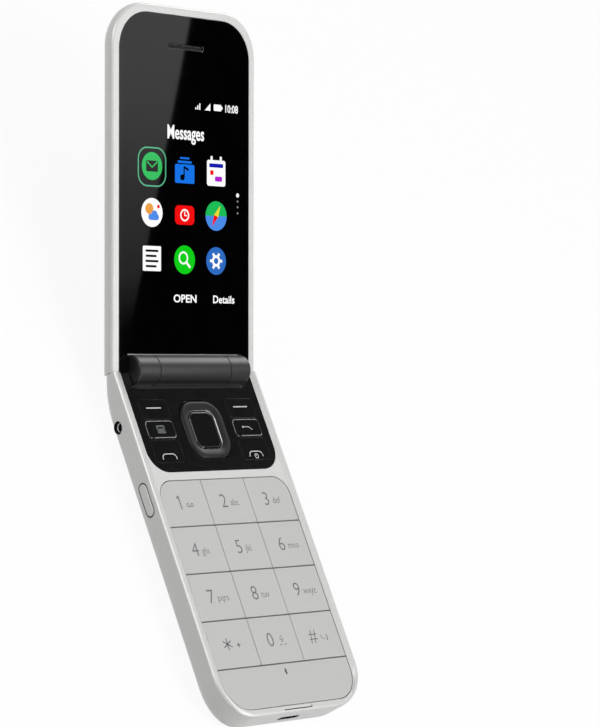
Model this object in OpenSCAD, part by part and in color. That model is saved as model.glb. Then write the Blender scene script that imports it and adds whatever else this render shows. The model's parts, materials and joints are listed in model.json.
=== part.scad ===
// Clamshell phone, shown open on its back.
// +Z up, +X across the width, +Y from the keypad towards the hinge and the lid.
// The origin is the centre of the flat back that the phone rests on.
// Base parts are placed by their distance from the hinge axis (by), and lid parts
// in the lid's own frame: x across, y from the hinge axis to the lid's free end,
// z out of the screen, turned up by the open angle.

/* [Handset] */
// Width across the silver sides
phone_w = 54.4; // [53.6:0.2:60]
// Length of each half, from the hinge axis to its free end
half_l = 99.7; // [99:0.1:108]
// Corner radius of the free ends, seen from above
end_corner_r = 12; // [11:0.5:13]
// Angle between the halves when the phone is fully open
open_angle = 154.1; // [145:0.1:165]
// Gap between the halves when the phone is closed
closed_gap = 0.31; // [0.25:0.01:0.5]
// Small gap between parts that are fixed to each other
fit_gap = 0.05; // [0.03:0.01:0.08]
// Gap around each part that moves
move_gap = 0.12; // [0.1:0.01:0.16]

/* [Base shell] */
// Height of the keypad face above the back
base_t = 10.5; // [10.4:0.1:12]
// Rounding of the long back edges
back_edge_r = 8; // [6:0.5:9]
// Rounding of the back edge at the free end
back_end_r = 3; // [1.5:0.5:4]
// Wall of the base housing
base_wall = 1.4; // [1.2:0.1:1.6]
// Face of the base housing around the keys
face_t = 1.3; // [1.1:0.1:1.4]
// Width of each silver rail beside the keys
rail_w = 2.5; // [2.2:0.1:3]
// Height of the rails above the keypad face
rail_h = 0.65; // [0.3:0.05:0.8]
// Width of the sloped inner side of a rail
rail_slope = 1.3; // [0.8:0.1:1.5]
// Rounding of the rails' outer edges
rail_r = 1; // [0.6:0.1:1.2]
// Length of the back's upward curve at the hinge end
tail_l = 12; // [8:0.5:16]
// Rise of that curve
tail_h = 3; // [2:0.25:3.2]
// Setback of the base's end face from the hinge axis, at the keypad face
base_end_set = 0.6; // [0.5:0.05:0.9]
// Lean of the base's end face, per mm of depth
base_end_lean = 0.153; // [0.1:0.005:0.18]
// Height of the battery cover's edge
cover_h = 3.4; // [3.2:0.1:3.8]
// Wall of the battery cover
cover_wall = 1; // [0.8:0.1:1.1]

/* [Lid shell] */
// Depth of the lid, from its inner glass to its outer face
lid_t = 7.1; // [7:0.1:8.5]
// Rounding of the long outer edges
lid_edge_r = 6.9; // [6:0.1:7]
// Rounding of the outer edge at the free end
lid_end_r = 6; // [4:0.5:6.5]
// Rounding of the lid's inner edges
lid_face_r = 0.8; // [0.4:0.1:1]
// Wall of the lid housing
lid_wall = 1.4; // [1.2:0.1:1.6]
// Thickness of the lid housing's floor
lid_floor = 1.7; // [1.6:0.1:1.9]
// Overhang of the lid's end past the hinge axis, at its inner face
lid_end_over = 0.5; // [0.3:0.05:0.6]
// Lean of the lid's end face, per mm of depth
lid_end_lean = 0.166; // [0.1:0.005:0.2]
// Width of the silver band beside the inner glass
lid_band = 2.4; // [2.2:0.1:2.6]
// Thickness of the inner glass
inner_glass_t = 1; // [0.8:0.05:1]
// Corner radius of the inner glass at the free end
inner_glass_r = 10.5; // [9:0.5:11]
// Thickness of the outer glass
outer_glass_t = 1.2; // [1:0.05:1.3]
// Length of the outer glass, from the hinge axis
outer_glass_l = 56; // [50:0.5:70]
// Silver rim left beside the outer glass
outer_glass_rim = 1.6; // [1.2:0.1:2.4]
// Corner radius of the outer glass
outer_glass_r = 5.5; // [3:0.5:8]

/* [Hinge] */
// Radius of the barrel
barrel_r = 4.2; // [4.1:0.05:4.3]
// Length of the whole barrel
barrel_w = 42.4; // [40:0.2:43]
// Length of its middle piece, which belongs to the base
barrel_mid_w = 26.8; // [25:0.2:28]
// Rounding of the barrel's end edges
barrel_end_r = 0.5; // [0.3:0.1:1]
// Gap around the barrel
barrel_gap = 0.25; // [0.2:0.01:0.3]
// Radius of the hinge cartridge
cartridge_r = 3; // [2.6:0.1:3.2]
// Length of the hinge cartridge
cartridge_l = 18; // [16:0.5:18.5]
// Radius of the hinge shaft
shaft_r = 1.5; // [1.2:0.1:1.8]
// Radius of the hollow sleeve that carries the flex cable
sleeve_r = 2.2; // [2:0.1:2.4]
// Wall of the sleeve
sleeve_wall = 0.6; // [0.4:0.1:0.7]
// Running clearance of the shaft and the sleeve
hinge_fit = 0.05; // [0.02:0.01:0.08]

/* [Keypad] */
// Distance from the hinge axis to the keypad's top edge
keypad_top = 32.2; // [31.8:0.1:33]
// Height of one row of keys
row_pitch = 13.45; // [13.2:0.05:13.5]
// Width of the middle column of keys
col_w = 16.3; // [15:0.1:17]
// Length of the blank panel under the keys
lower_panel_l = 11.8; // [11:0.1:12.2]
// Dark gap between rows of keys
row_gap = 0.28; // [0.2:0.02:0.34]
// Fine gap between columns of keys
col_gap = 0.1; // [0.08:0.01:0.14]
// Top corner radius of the keypad
keypad_top_r = 5.3; // [4:0.1:6]
// Bottom corner radius of the keypad
keypad_low_r = 8; // [7:0.25:9]
// Travel of each key
key_travel = 0.3; // [0.2:0.05:0.3]
// Thickness of the key caps
cap_t = 1.55; // [1.5:0.05:1.6]

/* [Navigation keys] */
// Gap between the black panel and the rails
nav_side = 0.2; // [0.1:0.05:0.4]
// Distance from the hinge axis to the panel's lower edge
nav_low = 30; // [29.5:0.1:30.2]
// Corner radius of the panel
nav_r = 6.5; // [5:0.25:8]
// Distance from the hinge axis to the ring's centre
ring_u = 17.8; // [17.5:0.1:18]
// Width of the ring
ring_w = 15.8; // [15:0.1:16]
// Length of the ring
ring_l = 17.4; // [17:0.1:17.6]
// Corner radius of the ring
ring_r = 5.6; // [5:0.1:6.5]
// Breadth of the ring's band
ring_band = 3; // [2.8:0.1:3.1]
// Height of the ring above the panel
ring_rise = 0.55; // [0.4:0.05:0.6]
// Gap between the ring and what it tilts inside
ring_gap = 0.28; // [0.26:0.01:0.32]
// Distance of the side keys from the panel's edge
side_key_inset = 2.8; // [2.6:0.1:3]
// Width of the side keys
side_key_w = 10.4; // [10:0.1:10.6]
// Length of the soft keys
soft_key_l = 5.8; // [5.4:0.1:6]
// Length of the message and back keys
mid_key_l = 5.3; // [5:0.1:5.4]
// Length of the call and end keys
call_key_l = 6.6; // [6:0.1:6.8]
// Corner radius of the side keys
side_key_r = 1.1; // [0.8:0.1:1.5]

/* [Side keys and ports] */
// Distance from the hinge axis to the emergency key
sos_u = 36.5; // [34:0.5:42]
// Length of the emergency key
sos_l = 9.1; // [8:0.1:10]
// Distance from the hinge axis to the volume rocker
volume_u = 36.5; // [34:0.5:42]
// Length of the volume rocker
volume_l = 19; // [16:0.5:20]
// Height of the keys on the sides
side_btn_h = 2.8; // [2.6:0.1:2.9]
// Depth of the side keys' centres below the keypad face
side_btn_depth = 2.85; // [2.8:0.05:2.9]
// How far the side keys stand out
side_btn_out = 0.35; // [0.3:0.05:0.5]
// Distance from the hinge axis to the headphone jack
jack_u = 14.5; // [14:0.1:15]
// Depth of the jack's centre below the keypad face
jack_depth = 4.75; // [4.7:0.05:5]
// Radius of the jack's bore
jack_r = 1.8; // [1.75:0.01:1.85]
// Depth of the jack's bore
jack_l = 13; // [12:0.5:13.5]
// Width of the charging port's shell
usb_w = 7.6; // [7.4:0.1:8]
// Height of the charging port's shell
usb_h = 2.5; // [2.4:0.1:2.6]
// Length of the charging port's shell
usb_l = 5.2; // [5:0.1:5.4]

/* [Inside the base] */
// Gap between the key caps and the mat, beyond their travel
mat_gap = 0.05; // [0.05:0.01:0.08]
// Thickness of the silicone mat
mat_t = 0.5; // [0.4:0.05:0.55]
// Thickness of the dome sheet with its domes
dome_sheet_t = 0.3; // [0.25:0.01:0.32]
// Radius of a dome
dome_r = 2.4; // [2:0.1:2.5]
// Thickness of the main board
board_t = 0.8; // [0.6:0.1:0.9]
// Distance of the main board from the phone's sides
board_inset = 5.2; // [5.1:0.1:6]
// Thickness of the chassis plate
chassis_t = 0.8; // [0.6:0.1:0.9]
// Width of the battery
battery_w = 34.4; // [32:0.2:36]
// Length of the battery
battery_l = 54.4; // [50:0.2:54.6]
// Thickness of the battery
battery_t = 4.6; // [4.2:0.1:4.6]
// Distance from the hinge axis to the battery
battery_u = 36.6; // [36.4:0.1:36.8]
// Radius of the screws' shanks
screw_r = 0.7; // [0.6:0.05:0.8]
// Radius of the screws' heads
screw_head_r = 1.3; // [1.2:0.1:1.4]
// Height of the screws' heads
screw_head_h = 0.6; // [0.5:0.1:0.7]

/* [Inside the lid] */
// Distance of the lid's display frame from the phone's sides
lid_frame_inset = 3.3; // [3.2:0.1:3.6]
// Gap between the main display and its frame
display_gap = 0.5; // [0.2:0.05:0.8]
// Length of the main display
display_l = 63; // [60:0.5:66]
// Distance from the hinge axis to the main display
display_v = 14.5; // [13:0.5:16]
// Thickness of the main display
display_t = 1.8; // [1.6:0.05:1.8]
// Thickness of the lid chassis plate
lid_chassis_t = 0.5; // [0.4:0.05:0.6]
// Thickness of the lid board
lid_board_t = 0.7; // [0.5:0.1:0.7]
// Side of the square outer display
outer_display_w = 27; // [25:0.5:30]
// Distance from the hinge axis to the outer display's centre
outer_display_v = 32; // [30:0.5:36]
// Width of the earpiece slot
ear_slot_w = 13.6; // [12:0.2:15]
// Height of the earpiece slot
ear_slot_h = 1.2; // [1:0.05:1.4]
// Distance from the hinge axis to the earpiece slot
ear_v = 88.8; // [88:0.1:89.2]
// Side of the camera module
camera_w = 7; // [6:0.5:7]
// Distance from the hinge axis to the camera
camera_v = 10; // [9.5:0.1:10.5]

/* [Hidden] */
$fn = 96;

silver = "#c4c4c4";
black = "#141414";
graphite = "#434345";
pcb_green = "#1f5a36";
steel = "#b9bcc0";
gold = "#c9a44c";
rubber_grey = "#8b8f93";

// Overrun of a cut past the face that it opens
cut = 1;
// Flat left between the two rounded corners of a slot's end
end_flat = 0.02;

hinge_y = half_l / 2;
hinge_rise = (rail_h + closed_gap) / 2;
hinge_z = base_t + hinge_rise;
lid_tilt = 180 - open_angle;

key_face = base_t;
cap_z = key_face - cap_t;
mat_z1 = cap_z - key_travel - mat_gap;
mat_z0 = mat_z1 - mat_t;
board_z1 = mat_z0 - dome_sheet_t;
board_z0 = board_z1 - board_t;
chassis_z0 = board_z0 - fit_gap - chassis_t;
ceiling_z = base_t - face_t;

window_w = phone_w - 2 * rail_w;
nav_w = window_w - 2 * nav_side;
side_col = nav_w / 2 - side_key_inset - side_key_w / 2;
board_w = phone_w - 2 * board_inset;
row_u = [for (i = [0:4]) keypad_top + i * row_pitch];
keypad_low = row_u[4] + lower_panel_l;
col_x = [-window_w / 2, -col_w / 2, col_w / 2, window_w / 2];

face_w = -hinge_rise;
outer_w = face_w - lid_t;
glass_w0 = face_w - inner_glass_t;
display_w1 = glass_w0 - fit_gap;
display_w0 = display_w1 - display_t;
lid_plate_w1 = display_w0 - fit_gap;
lid_plate_w0 = lid_plate_w1 - lid_chassis_t;
lid_board_w1 = lid_plate_w0 - fit_gap;
lid_board_w0 = lid_board_w1 - lid_board_t;
lid_floor_w = outer_w + lid_floor;
inner_glass_w = phone_w - 2 * lid_band - 2 * fit_gap;
inner_glass_l = half_l - lid_band - fit_gap;
lid_frame_w = phone_w - 2 * lid_frame_inset;
lid_frame_wall = 0.9;
display_w = lid_frame_w - 2 * lid_frame_wall - 2 * display_gap;

// Trough that the barrel turns in, and the wall round it
trough_r = barrel_r + barrel_gap;
trough_wall = 0.8;
trough_w = barrel_w + 2 * barrel_gap;
knuckle_gap = 0.15;
strip_w = 40.6;
strip_t = 0.8;
strip_lap = 0.1;
strip_u = trough_r + trough_wall - strip_lap;
nav_top = trough_r + trough_wall + fit_gap;

// Distance from the hinge axis, as a place along Y
function by(u) = hinge_y - u;

// Extrudes a drawing of (y, z) along X, one of (x, z) along Y, or one of (x, y) along Z
module along_x(x0, x1) translate([x0, 0, 0]) rotate([90, 0, 90]) linear_extrude(x1 - x0) children();
module along_y(y0, y1) translate([0, y1, 0]) rotate([90, 0, 0]) linear_extrude(y1 - y0) children();
module along_z(z0, z1) translate([0, 0, z0]) linear_extrude(z1 - z0) children();

// Box between two corners
module box(a, b) translate(a) cube(b - a);

// Cylinder along X between two places
module rod_x(x0, x1, r) translate([x0, 0, 0]) rotate([0, 90, 0]) cylinder(h = x1 - x0, r = r);

// Rectangle with round corners: rl at its lower side, rh at its upper side
module rounded(x0, x1, y0, y1, rl, rh) {
    translate([x0, y0 + rl]) square([x1 - x0, y1 - y0 - rl - rh]);
    translate([x0 + rl, y0]) square([x1 - x0 - 2 * rl, rl]);
    translate([x0 + rh, y1 - rh]) square([x1 - x0 - 2 * rh, rh]);
    for (x = [x0 + rl, x1 - rl]) translate([x, y0 + rl]) circle(r = rl);
    for (x = [x0 + rh, x1 - rh]) translate([x, y1 - rh]) circle(r = rh);
}

// Rectangle round a centre, with one corner radius
module rounded_at(x, y, w, l, r) rounded(x - w / 2, x + w / 2, y - l / 2, y + l / 2, r, r);

module in_lid() translate([0, hinge_y, hinge_z]) rotate([lid_tilt, 0, 0]) children();
module at_hinge() translate([0, hinge_y, hinge_z]) children();

// ---------- Solid outer forms of the halves, drawn in by inset for the cavity ----------

module base_section(inset) {
    half = phone_w / 2 - inset;
    rounded(-half, half, inset, base_t + rail_h - inset, back_edge_r - inset, rail_r);
}

// Side view of the base: the back curves up towards the hinge
module base_profile(inset) {
    y0 = by(half_l) + inset;
    end_top = by(base_end_set) - inset;
    end_low = end_top + base_end_lean * base_t;
    tail_r = (tail_l * tail_l + tail_h * tail_h) / (2 * tail_h);
    difference() {
        intersection() {
            rounded(y0, end_low + cut, inset, base_t + rail_h - inset, back_end_r - inset / 2, rail_r);
            polygon([[y0, 0], [end_low, 0], [end_top, base_t], [end_top, base_t + rail_h], [y0, base_t + rail_h]]);
        }
        difference() {
            translate([by(tail_l), -cut]) square([tail_l + 2 * cut, tail_h + 2 * cut]);
            translate([by(tail_l), tail_r]) circle(r = tail_r - inset);
        }
    }
}

module base_plan(inset) {
    half = phone_w / 2 - inset;
    rounded(-half, half, by(half_l) + inset, by(0) + 2 * cut, end_corner_r - inset, rail_r);
}

module base_solid(inset) {
    intersection() {
        along_y(by(half_l), by(0) + 2 * cut) base_section(inset);
        along_x(-phone_w / 2, phone_w / 2) base_profile(inset);
        along_z(0, base_t + rail_h) base_plan(inset);
    }
}

module lid_section(inset) {
    half = phone_w / 2 - inset;
    rounded(-half, half, outer_w + inset, face_w, lid_edge_r - inset, lid_face_r);
}

module lid_profile(inset) {
    y1 = half_l - inset;
    end_top = -lid_end_over + inset;
    end_low = end_top - lid_end_lean * lid_t;
    intersection() {
        rounded(end_low - 2 * cut - lid_end_r, y1, outer_w + inset, face_w, lid_end_r - inset, lid_face_r);
        polygon([[end_top, face_w], [y1, face_w], [y1, outer_w], [end_low, outer_w]]);
    }
}

module lid_plan(inset) {
    half = phone_w / 2 - inset;
    rounded(-half, half, -lid_end_over - lid_t, half_l - inset, lid_face_r, end_corner_r - inset);
}

module lid_solid(inset) {
    intersection() {
        along_y(-lid_end_over - lid_t, half_l) lid_section(inset);
        along_x(-phone_w / 2, phone_w / 2) lid_profile(inset);
        along_z(outer_w, face_w) lid_plan(inset);
    }
}

// Barrel trough: the space that it needs, and the wall behind it
module trough(r) rod_x(-trough_w / 2, trough_w / 2, r);

// ---------- Base: housing, cover and the parts fixed inside ----------

module keypad_window(gap) {
    half = window_w / 2 - gap;
    rounded(-half, half, by(keypad_low) + gap, by(keypad_top) - gap, keypad_low_r - gap, keypad_top_r - gap);
}

module nav_window(gap) {
    half = nav_w / 2 - gap;
    rounded(-half, half, by(nav_low) + gap, by(0) + 2 * cut, nav_r - gap, rail_r);
}

post_inset = 3.6;
post_x = phone_w / 2 - post_inset;
post_r = 1.6;
post_u0 = 22.4;
post_u1 = 80;
post_u = [post_u0, post_u1];
post_z1 = mat_z1 - fit_gap;
module post_places() for (x = [-post_x, post_x], u = post_u) translate([x, by(u), 0]) children();

btn_z = base_t - side_btn_depth;
btn_slot_h = side_btn_h + 2 * move_gap;

module side_stadium(u, l, h) rounded_at(by(u), btn_z, l, h, (h - end_flat) / 2);

jack_z = base_t - jack_depth;
usb_z1 = board_z0;
usb_z0 = usb_z1 - usb_h;
usb_u = half_l - base_wall - usb_l / 2;

module base_housing() {
    crown = window_w / 2 + rail_slope;
    color(silver) difference() {
        union() {
            difference() {
                intersection() {
                    base_solid(0);
                    along_z(cover_h + fit_gap, base_t + rail_h) square(4 * half_l, center = true);
                }
                intersection() {
                    base_solid(base_wall);
                    along_z(0, ceiling_z) square(4 * half_l, center = true);
                }
            }
            intersection() {
                base_solid(0);
                along_z(cover_h + fit_gap, base_t) square(4 * half_l, center = true);
                at_hinge() trough(trough_r + trough_wall);
            }
            for (side = [-1, 1], u = post_u) {
                translate([side * post_x, by(u), board_z0]) cylinder(h = post_z1 - board_z0, r = post_r);
                translate([side * (post_x + base_wall), by(u), (board_z0 + post_z1) / 2])
                    cube([2 * base_wall, post_r, post_z1 - board_z0], center = true);
            }
        }
        // Face between the rails
        along_y(by(half_l) - cut, by(0) + 2 * cut)
            polygon([[-window_w / 2, base_t], [-crown, base_t + rail_h], [crown, base_t + rail_h], [window_w / 2, base_t]]);
        along_z(ceiling_z - cut, base_t + cut) {
            keypad_window(0);
            nav_window(0);
        }
        at_hinge() trough(trough_r);
        // Seats of the hinge cover's strip and foot
        box([-strip_w / 2 - fit_gap, by(strip_u) - fit_gap, base_t - strip_t - fit_gap],
            [strip_w / 2 + fit_gap, by(0), base_t + cut]);
        box([-foot_w / 2 - fit_gap, by(foot_u) - fit_gap, foot_z0 - fit_gap], [foot_w / 2 + fit_gap, by(0), base_t]);
        flex_base_tail(flex_gap);
        post_places() translate([0, 0, board_z0 - cut]) cylinder(h = screw_top - board_z0 + cut, r = screw_r);
        translate([0, by(jack_u), jack_z]) rod_x(-phone_w / 2 - cut, -phone_w / 2 + 2 * base_wall, jack_r);
        along_x(-phone_w / 2 - cut, -phone_w / 2 + 2 * base_wall) side_stadium(sos_u, sos_l + 2 * move_gap, btn_slot_h);
        along_x(phone_w / 2 - 2 * base_wall, phone_w / 2 + cut)
            side_stadium(volume_u, volume_l + 2 * volume_gap, btn_slot_h);
        along_y(by(half_l) - cut, by(usb_u))
            rounded_at(0, (usb_z0 + usb_z1) / 2, usb_w + 2 * fit_gap, usb_h + 2 * fit_gap, usb_r + fit_gap);
    }
}

grille_n = 4;
grille_w = 8;
grille_h = 0.8;
grille_pitch = 1.9;
speaker_x = -5;
speaker_u = 24;
speaker_w = 13;
speaker_l = 9;

module battery_cover() {
    color(silver) difference() {
        intersection() {
            base_solid(0);
            along_z(0, cover_h) square(4 * half_l, center = true);
        }
        base_solid(cover_wall);
        // Loudspeaker slots
        for (i = [0:grille_n - 1])
            along_z(-cut, cover_wall + cut)
                rounded_at(speaker_x, by(speaker_u + (i - (grille_n - 1) / 2) * grille_pitch),
                           grille_w, grille_h, (grille_h - end_flat) / 2);
    }
}

battery_z1 = chassis_z0 - fit_gap;
battery_z0 = battery_z1 - battery_t;
bay_gap = 0.3;
bay_wall = 0.9;
chassis_u0 = battery_u - bay_gap - bay_wall;
chassis_u1 = battery_u + battery_l + bay_gap + bay_wall;
bay_lift = 0.15;
bay_z0 = cover_wall + bay_lift;
frame_u = 7;

module chassis_outline() {
    rounded(-board_w / 2, board_w / 2, by(chassis_u1), by(frame_u), bay_wall, bay_wall);
    for (x = [-post_x, post_x], u = post_u) {
        translate([x, by(u)]) circle(r = post_r);
        translate([x - sign(x) * post_r, by(u)]) square([2 * post_r, 2 * post_r], center = true);
    }
}

// Plate between the battery and the board, with the walls of the battery bay
module base_chassis() {
    bay_w = battery_w + 2 * bay_gap;
    color(graphite) difference() {
        union() {
            along_z(chassis_z0, chassis_z0 + chassis_t) chassis_outline();
            along_z(bay_z0, chassis_z0 + chassis_t)
                rounded(-bay_w / 2 - bay_wall, bay_w / 2 + bay_wall, by(chassis_u1), by(chassis_u0), bay_wall, bay_wall);
        }
        // Battery bay
        box([-bay_w / 2, by(battery_u + battery_l + bay_gap), bay_z0 - cut],
            [bay_w / 2, by(battery_u - bay_gap), chassis_z0]);
        // Opening for the parts under the board
        box([-board_w / 2 + 2 * bay_wall, by(chassis_u0 - bay_wall), bay_z0 - cut],
            [board_w / 2 - 2 * bay_wall, by(frame_u + bay_wall), board_z0]);
        // Notch for the headphone jack
        box([-board_w / 2 - cut, by(jack_u + jack_body_l / 2 + bay_gap), bay_z0],
            [-board_w / 2 + 3 * bay_wall, by(jack_u - jack_body_l / 2 - bay_gap), board_z0]);
        // Contact block
        box([-contact_w / 2 - fit_gap, by(battery_u), bay_z0 - cut],
            [contact_w / 2 + fit_gap, by(chassis_u0 - cut), board_z0]);
        post_places() translate([0, 0, chassis_z0 - cut]) cylinder(h = chassis_t + 2 * cut, r = screw_r + fit_gap);
    }
}

screw_reach = 1.1;
screw_top = board_z0 + screw_reach;
module base_screws() {
    color(steel) post_places() {
        translate([0, 0, chassis_z0 - screw_head_h]) cylinder(h = screw_head_h, r = screw_head_r);
        translate([0, 0, chassis_z0 - screw_head_h]) cylinder(h = screw_top - fit_gap - chassis_z0 + screw_head_h, r = screw_r);
    }
}

board_u0 = 6.4;
board_r = 1.5;
jack_body_l = 6.6;
jack_body_wall = 0.5;
switch_l = 5;
switch_h = 1.6;

// Board with the switches of the side keys on its edges
module main_board() {
    board_u1 = half_l - base_wall - fit_gap;
    color(pcb_green) difference() {
        union() {
            along_z(board_z0, board_z1)
                rounded(-board_w / 2, board_w / 2, by(board_u1), by(board_u0), end_corner_r - base_wall, board_r);
            switch_block(-1, sos_u);
            for (d = [-1, 1]) switch_block(1, volume_u + d * volume_l / 4);
        }
        box([-board_w / 2 - cut, by(jack_u + jack_body_l / 2 + bay_gap), board_z0 - cut],
            [jack_x1 + bay_gap, by(jack_u - jack_body_l / 2 - bay_gap), board_z1 + cut]);
    }
}

// Side switch: a block on the board's edge that reaches towards its key
module switch_block(side, u) {
    x_in = sheet_w / 2 + fit_gap;
    x_out = btn_back_x - key_travel - mat_gap;
    box([side > 0 ? x_in : -x_out, by(u) - switch_l / 2, board_z0],
        [side > 0 ? x_out : -x_in, by(u) + switch_l / 2, board_z0 + switch_h]);
}

can_gap = 0.2;
can_w = 18;
can_x = board_w / 2 - 2 * bay_wall - can_gap - can_w / 2;
can_l = 21;
can_u = 20;
can_h = 1.9;
can_r = 1;
module shield_can() {
    color(steel) along_z(board_z0 - can_h, board_z0) rounded_at(can_x, by(can_u), can_w, can_l, can_r);
}

battery_r = 1.2;
module battery() {
    color(black) along_z(battery_z0, battery_z1)
        rounded_at(0, by(battery_u + battery_l / 2), battery_w, battery_l, battery_r);
}

contact_w = 11;
contact_pitch = 3;
contact_t = 1;
contact_h = 2;
module battery_contacts() {
    color(gold) union() {
        box([-contact_w / 2, by(battery_u - bay_gap), battery_z0 + contact_t], [contact_w / 2, by(chassis_u0 - cut / 2), board_z0]);
        for (i = [-1:1])
            translate([i * contact_pitch, by(battery_u - bay_gap / 2), (battery_z0 + battery_z1) / 2])
                cube([contact_t, bay_gap, contact_h], center = true);
    }
}

sim_w = 15;
sim_l = 13;
sim_h = 1.4;
sim_inset = 2.5;
sim_x0 = -board_w / 2 + sim_inset;
sim_u1 = chassis_u0 - 2;
module sim_socket() {
    color(steel) box([sim_x0, by(sim_u1), board_z0 - sim_h], [sim_x0 + sim_w, by(sim_u1 - sim_l), board_z0]);
}

usb_r = 0.6;
usb_metal = 0.3;
usb_tongue_t = 0.6;
module usb_port() {
    z = (usb_z0 + usb_z1) / 2;
    back = by(usb_u - usb_l / 2);
    color(steel) union() {
        difference() {
            along_y(by(usb_u + usb_l / 2), back) rounded_at(0, z, usb_w, usb_h, usb_r);
            along_y(by(usb_u + usb_l / 2) - cut, back - usb_metal)
                rounded_at(0, z, usb_w - 2 * usb_metal, usb_h - 2 * usb_metal, usb_r - usb_metal / 2);
        }
        box([-usb_w / 4, by(usb_u + usb_l / 4), z], [usb_w / 4, back, z + usb_tongue_t]);
    }
}

jack_end_wall = 1.4;
jack_x1 = -phone_w / 2 + jack_l + jack_end_wall;

// Jack body, fitted to the side wall inside, with its top level with the board's
module headphone_jack() {
    color(black) difference() {
        intersection() {
            base_solid(base_wall + fit_gap);
            box([-phone_w / 2, by(jack_u + jack_body_l / 2), jack_z - jack_r - jack_body_wall],
                [jack_x1, by(jack_u - jack_body_l / 2), board_z1]);
        }
        translate([0, by(jack_u), jack_z]) rod_x(-phone_w / 2, -phone_w / 2 + jack_l, jack_r);
    }
}

speaker_h = 3.4;
speaker_r = 1.5;
module loudspeaker() {
    color(black) along_z(cover_wall + fit_gap, cover_wall + fit_gap + speaker_h)
        rounded_at(speaker_x, by(speaker_u), speaker_w, speaker_l, speaker_r);
}

mic_u = 88.3;
mic_r = 2;
mic_slot_w = 0.6;
mic_slot_l = 1.6;
module microphone() {
    color(steel) translate([0, by(mic_u), board_z1]) cylinder(h = cap_z - board_z1 - fit_gap, r = mic_r);
}

motor_r = 1.9;
motor_l = 9;
motor_x = 8;
motor_end_gap = 4.1;
motor_u = half_l - motor_end_gap;
weight_l = 1.2;
weight_gap = 0.4;
spindle_r = 0.4;
motor_lap = 0.1;

// Motor with its weight on a spindle
module vibration_motor() {
    color(steel) translate([motor_x, by(motor_u), board_z0 - motor_r - fit_gap]) {
        rod_x(0, motor_l, motor_r);
        rod_x(-weight_gap - weight_l, -weight_gap, motor_r - weight_gap);
        rod_x(-weight_gap - motor_lap, motor_lap, spindle_r);
    }
}

antenna_w = 13;
antenna_l = 3.6;
antenna_h = 4.4;
antenna_r = 0.8;
antenna_gap = 1;
module antenna() {
    color(graphite) along_z(board_z0 - antenna_h, board_z0)
        rounded_at(-usb_w / 2 - antenna_gap - antenna_w / 2, by(motor_u - antenna_gap / 3), antenna_w, antenna_l, antenna_r);
}

// ---------- Keys ----------

soft_set = 6.4;
key_bar = 0.2;
soft_u = ring_u - soft_set;
mid_u = soft_u + soft_key_l / 2 + 2 * move_gap + mid_key_l / 2 + key_bar;
call_u = mid_u + mid_key_l / 2 + 2 * move_gap + call_key_l / 2 + key_bar;
key_x = [for (i = [0:2]) (col_x[i] + col_x[i + 1]) / 2];
key_y = [for (i = [0:3]) row_u[i] + row_pitch / 2];
ring_dome_x = (ring_w - ring_band) / 2;
ring_dome_y = (ring_l - ring_band) / 2;
dome_places = concat(
    [for (x = key_x, u = key_y) [x, u]],
    [for (x = [-side_col, side_col], u = [soft_u, mid_u, call_u]) [x, u]],
    [[0, ring_u], [ring_dome_x, ring_u], [-ring_dome_x, ring_u], [0, ring_u - ring_dome_y], [0, ring_u + ring_dome_y]]
);
sheet_inset = 0.2;
sheet_r = 1;
sheet_w = board_w - 2 * sheet_inset;
sheet_u0 = 9.2;
sheet_u1 = row_u[4];
dome_foil = 0.1;

// Foil with a snap dome under each key
module dome_sheet() {
    rise = dome_sheet_t - dome_foil;
    sphere_r = (dome_r * dome_r + rise * rise) / (2 * rise);
    color(steel) union() {
        along_z(board_z1, board_z1 + dome_foil)
            rounded(-sheet_w / 2, sheet_w / 2, by(sheet_u1), by(sheet_u0), sheet_r, sheet_r);
        for (p = dome_places)
            translate([p[0], by(p[1]), board_z1 + dome_foil]) intersection() {
                translate([0, 0, rise - sphere_r]) sphere(r = sphere_r);
                cylinder(h = rise, r = dome_r + cut);
            }
    }
}

// Silicone mat that the key caps stand over
module keypad_mat() {
    color(rubber_grey) along_z(mat_z0, mat_z1)
        rounded(-sheet_w / 2, sheet_w / 2, by(sheet_u1), by(sheet_u0), sheet_r, sheet_r);
}

module ring_shape(grow) rounded_at(0, by(ring_u), ring_w + 2 * grow, ring_l + 2 * grow, ring_r + grow);
module side_key_shape(x, u, l, grow)
    rounded_at(x, by(u), side_key_w + 2 * grow, l + 2 * grow, side_key_r + grow);

deck_z0 = ceiling_z;
module nav_deck() {
    color(black) difference() {
        intersection() {
            along_z(deck_z0, base_t) nav_window(fit_gap);
            base_solid(0);
        }
        box([-trough_w / 2, by(nav_top), deck_z0 - cut], [trough_w / 2, by(0) + 4 * cut, base_t + cut]);
        along_z(deck_z0 - cut, base_t + cut) {
            ring_shape(ring_gap);
            for (x = [-side_col, side_col]) {
                side_key_shape(x, soft_u, soft_key_l, move_gap);
                side_key_shape(x, mid_u, mid_key_l, move_gap);
                side_key_shape(x, call_u, call_key_l, move_gap);
            }
        }
    }
}

module side_key(x, u, l) color(black) along_z(cap_z, base_t) side_key_shape(x, u, l, 0);
module soft_key_left() side_key(-side_col, soft_u, soft_key_l);
module soft_key_right() side_key(side_col, soft_u, soft_key_l);
module message_key() side_key(-side_col, mid_u, mid_key_l);
module back_key() side_key(side_col, mid_u, mid_key_l);
module call_key() side_key(-side_col, call_u, call_key_l);
module end_key() side_key(side_col, call_u, call_key_l);

// Bottom of the ring, and the pad that lets it tilt both ways
ring_lift = 0.2;
gimbal_gap = 0.17;
ring_z0 = cap_z + ring_lift;
gimbal_z1 = ring_z0 - gimbal_gap;
gimbal_t = 0.15;
gimbal_in = 0.3;
gimbal_out = 1.5;

module nav_ring() {
    color(graphite) along_z(ring_z0, base_t + ring_rise) difference() {
        ring_shape(0);
        ring_shape(-ring_band);
    }
}

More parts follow.
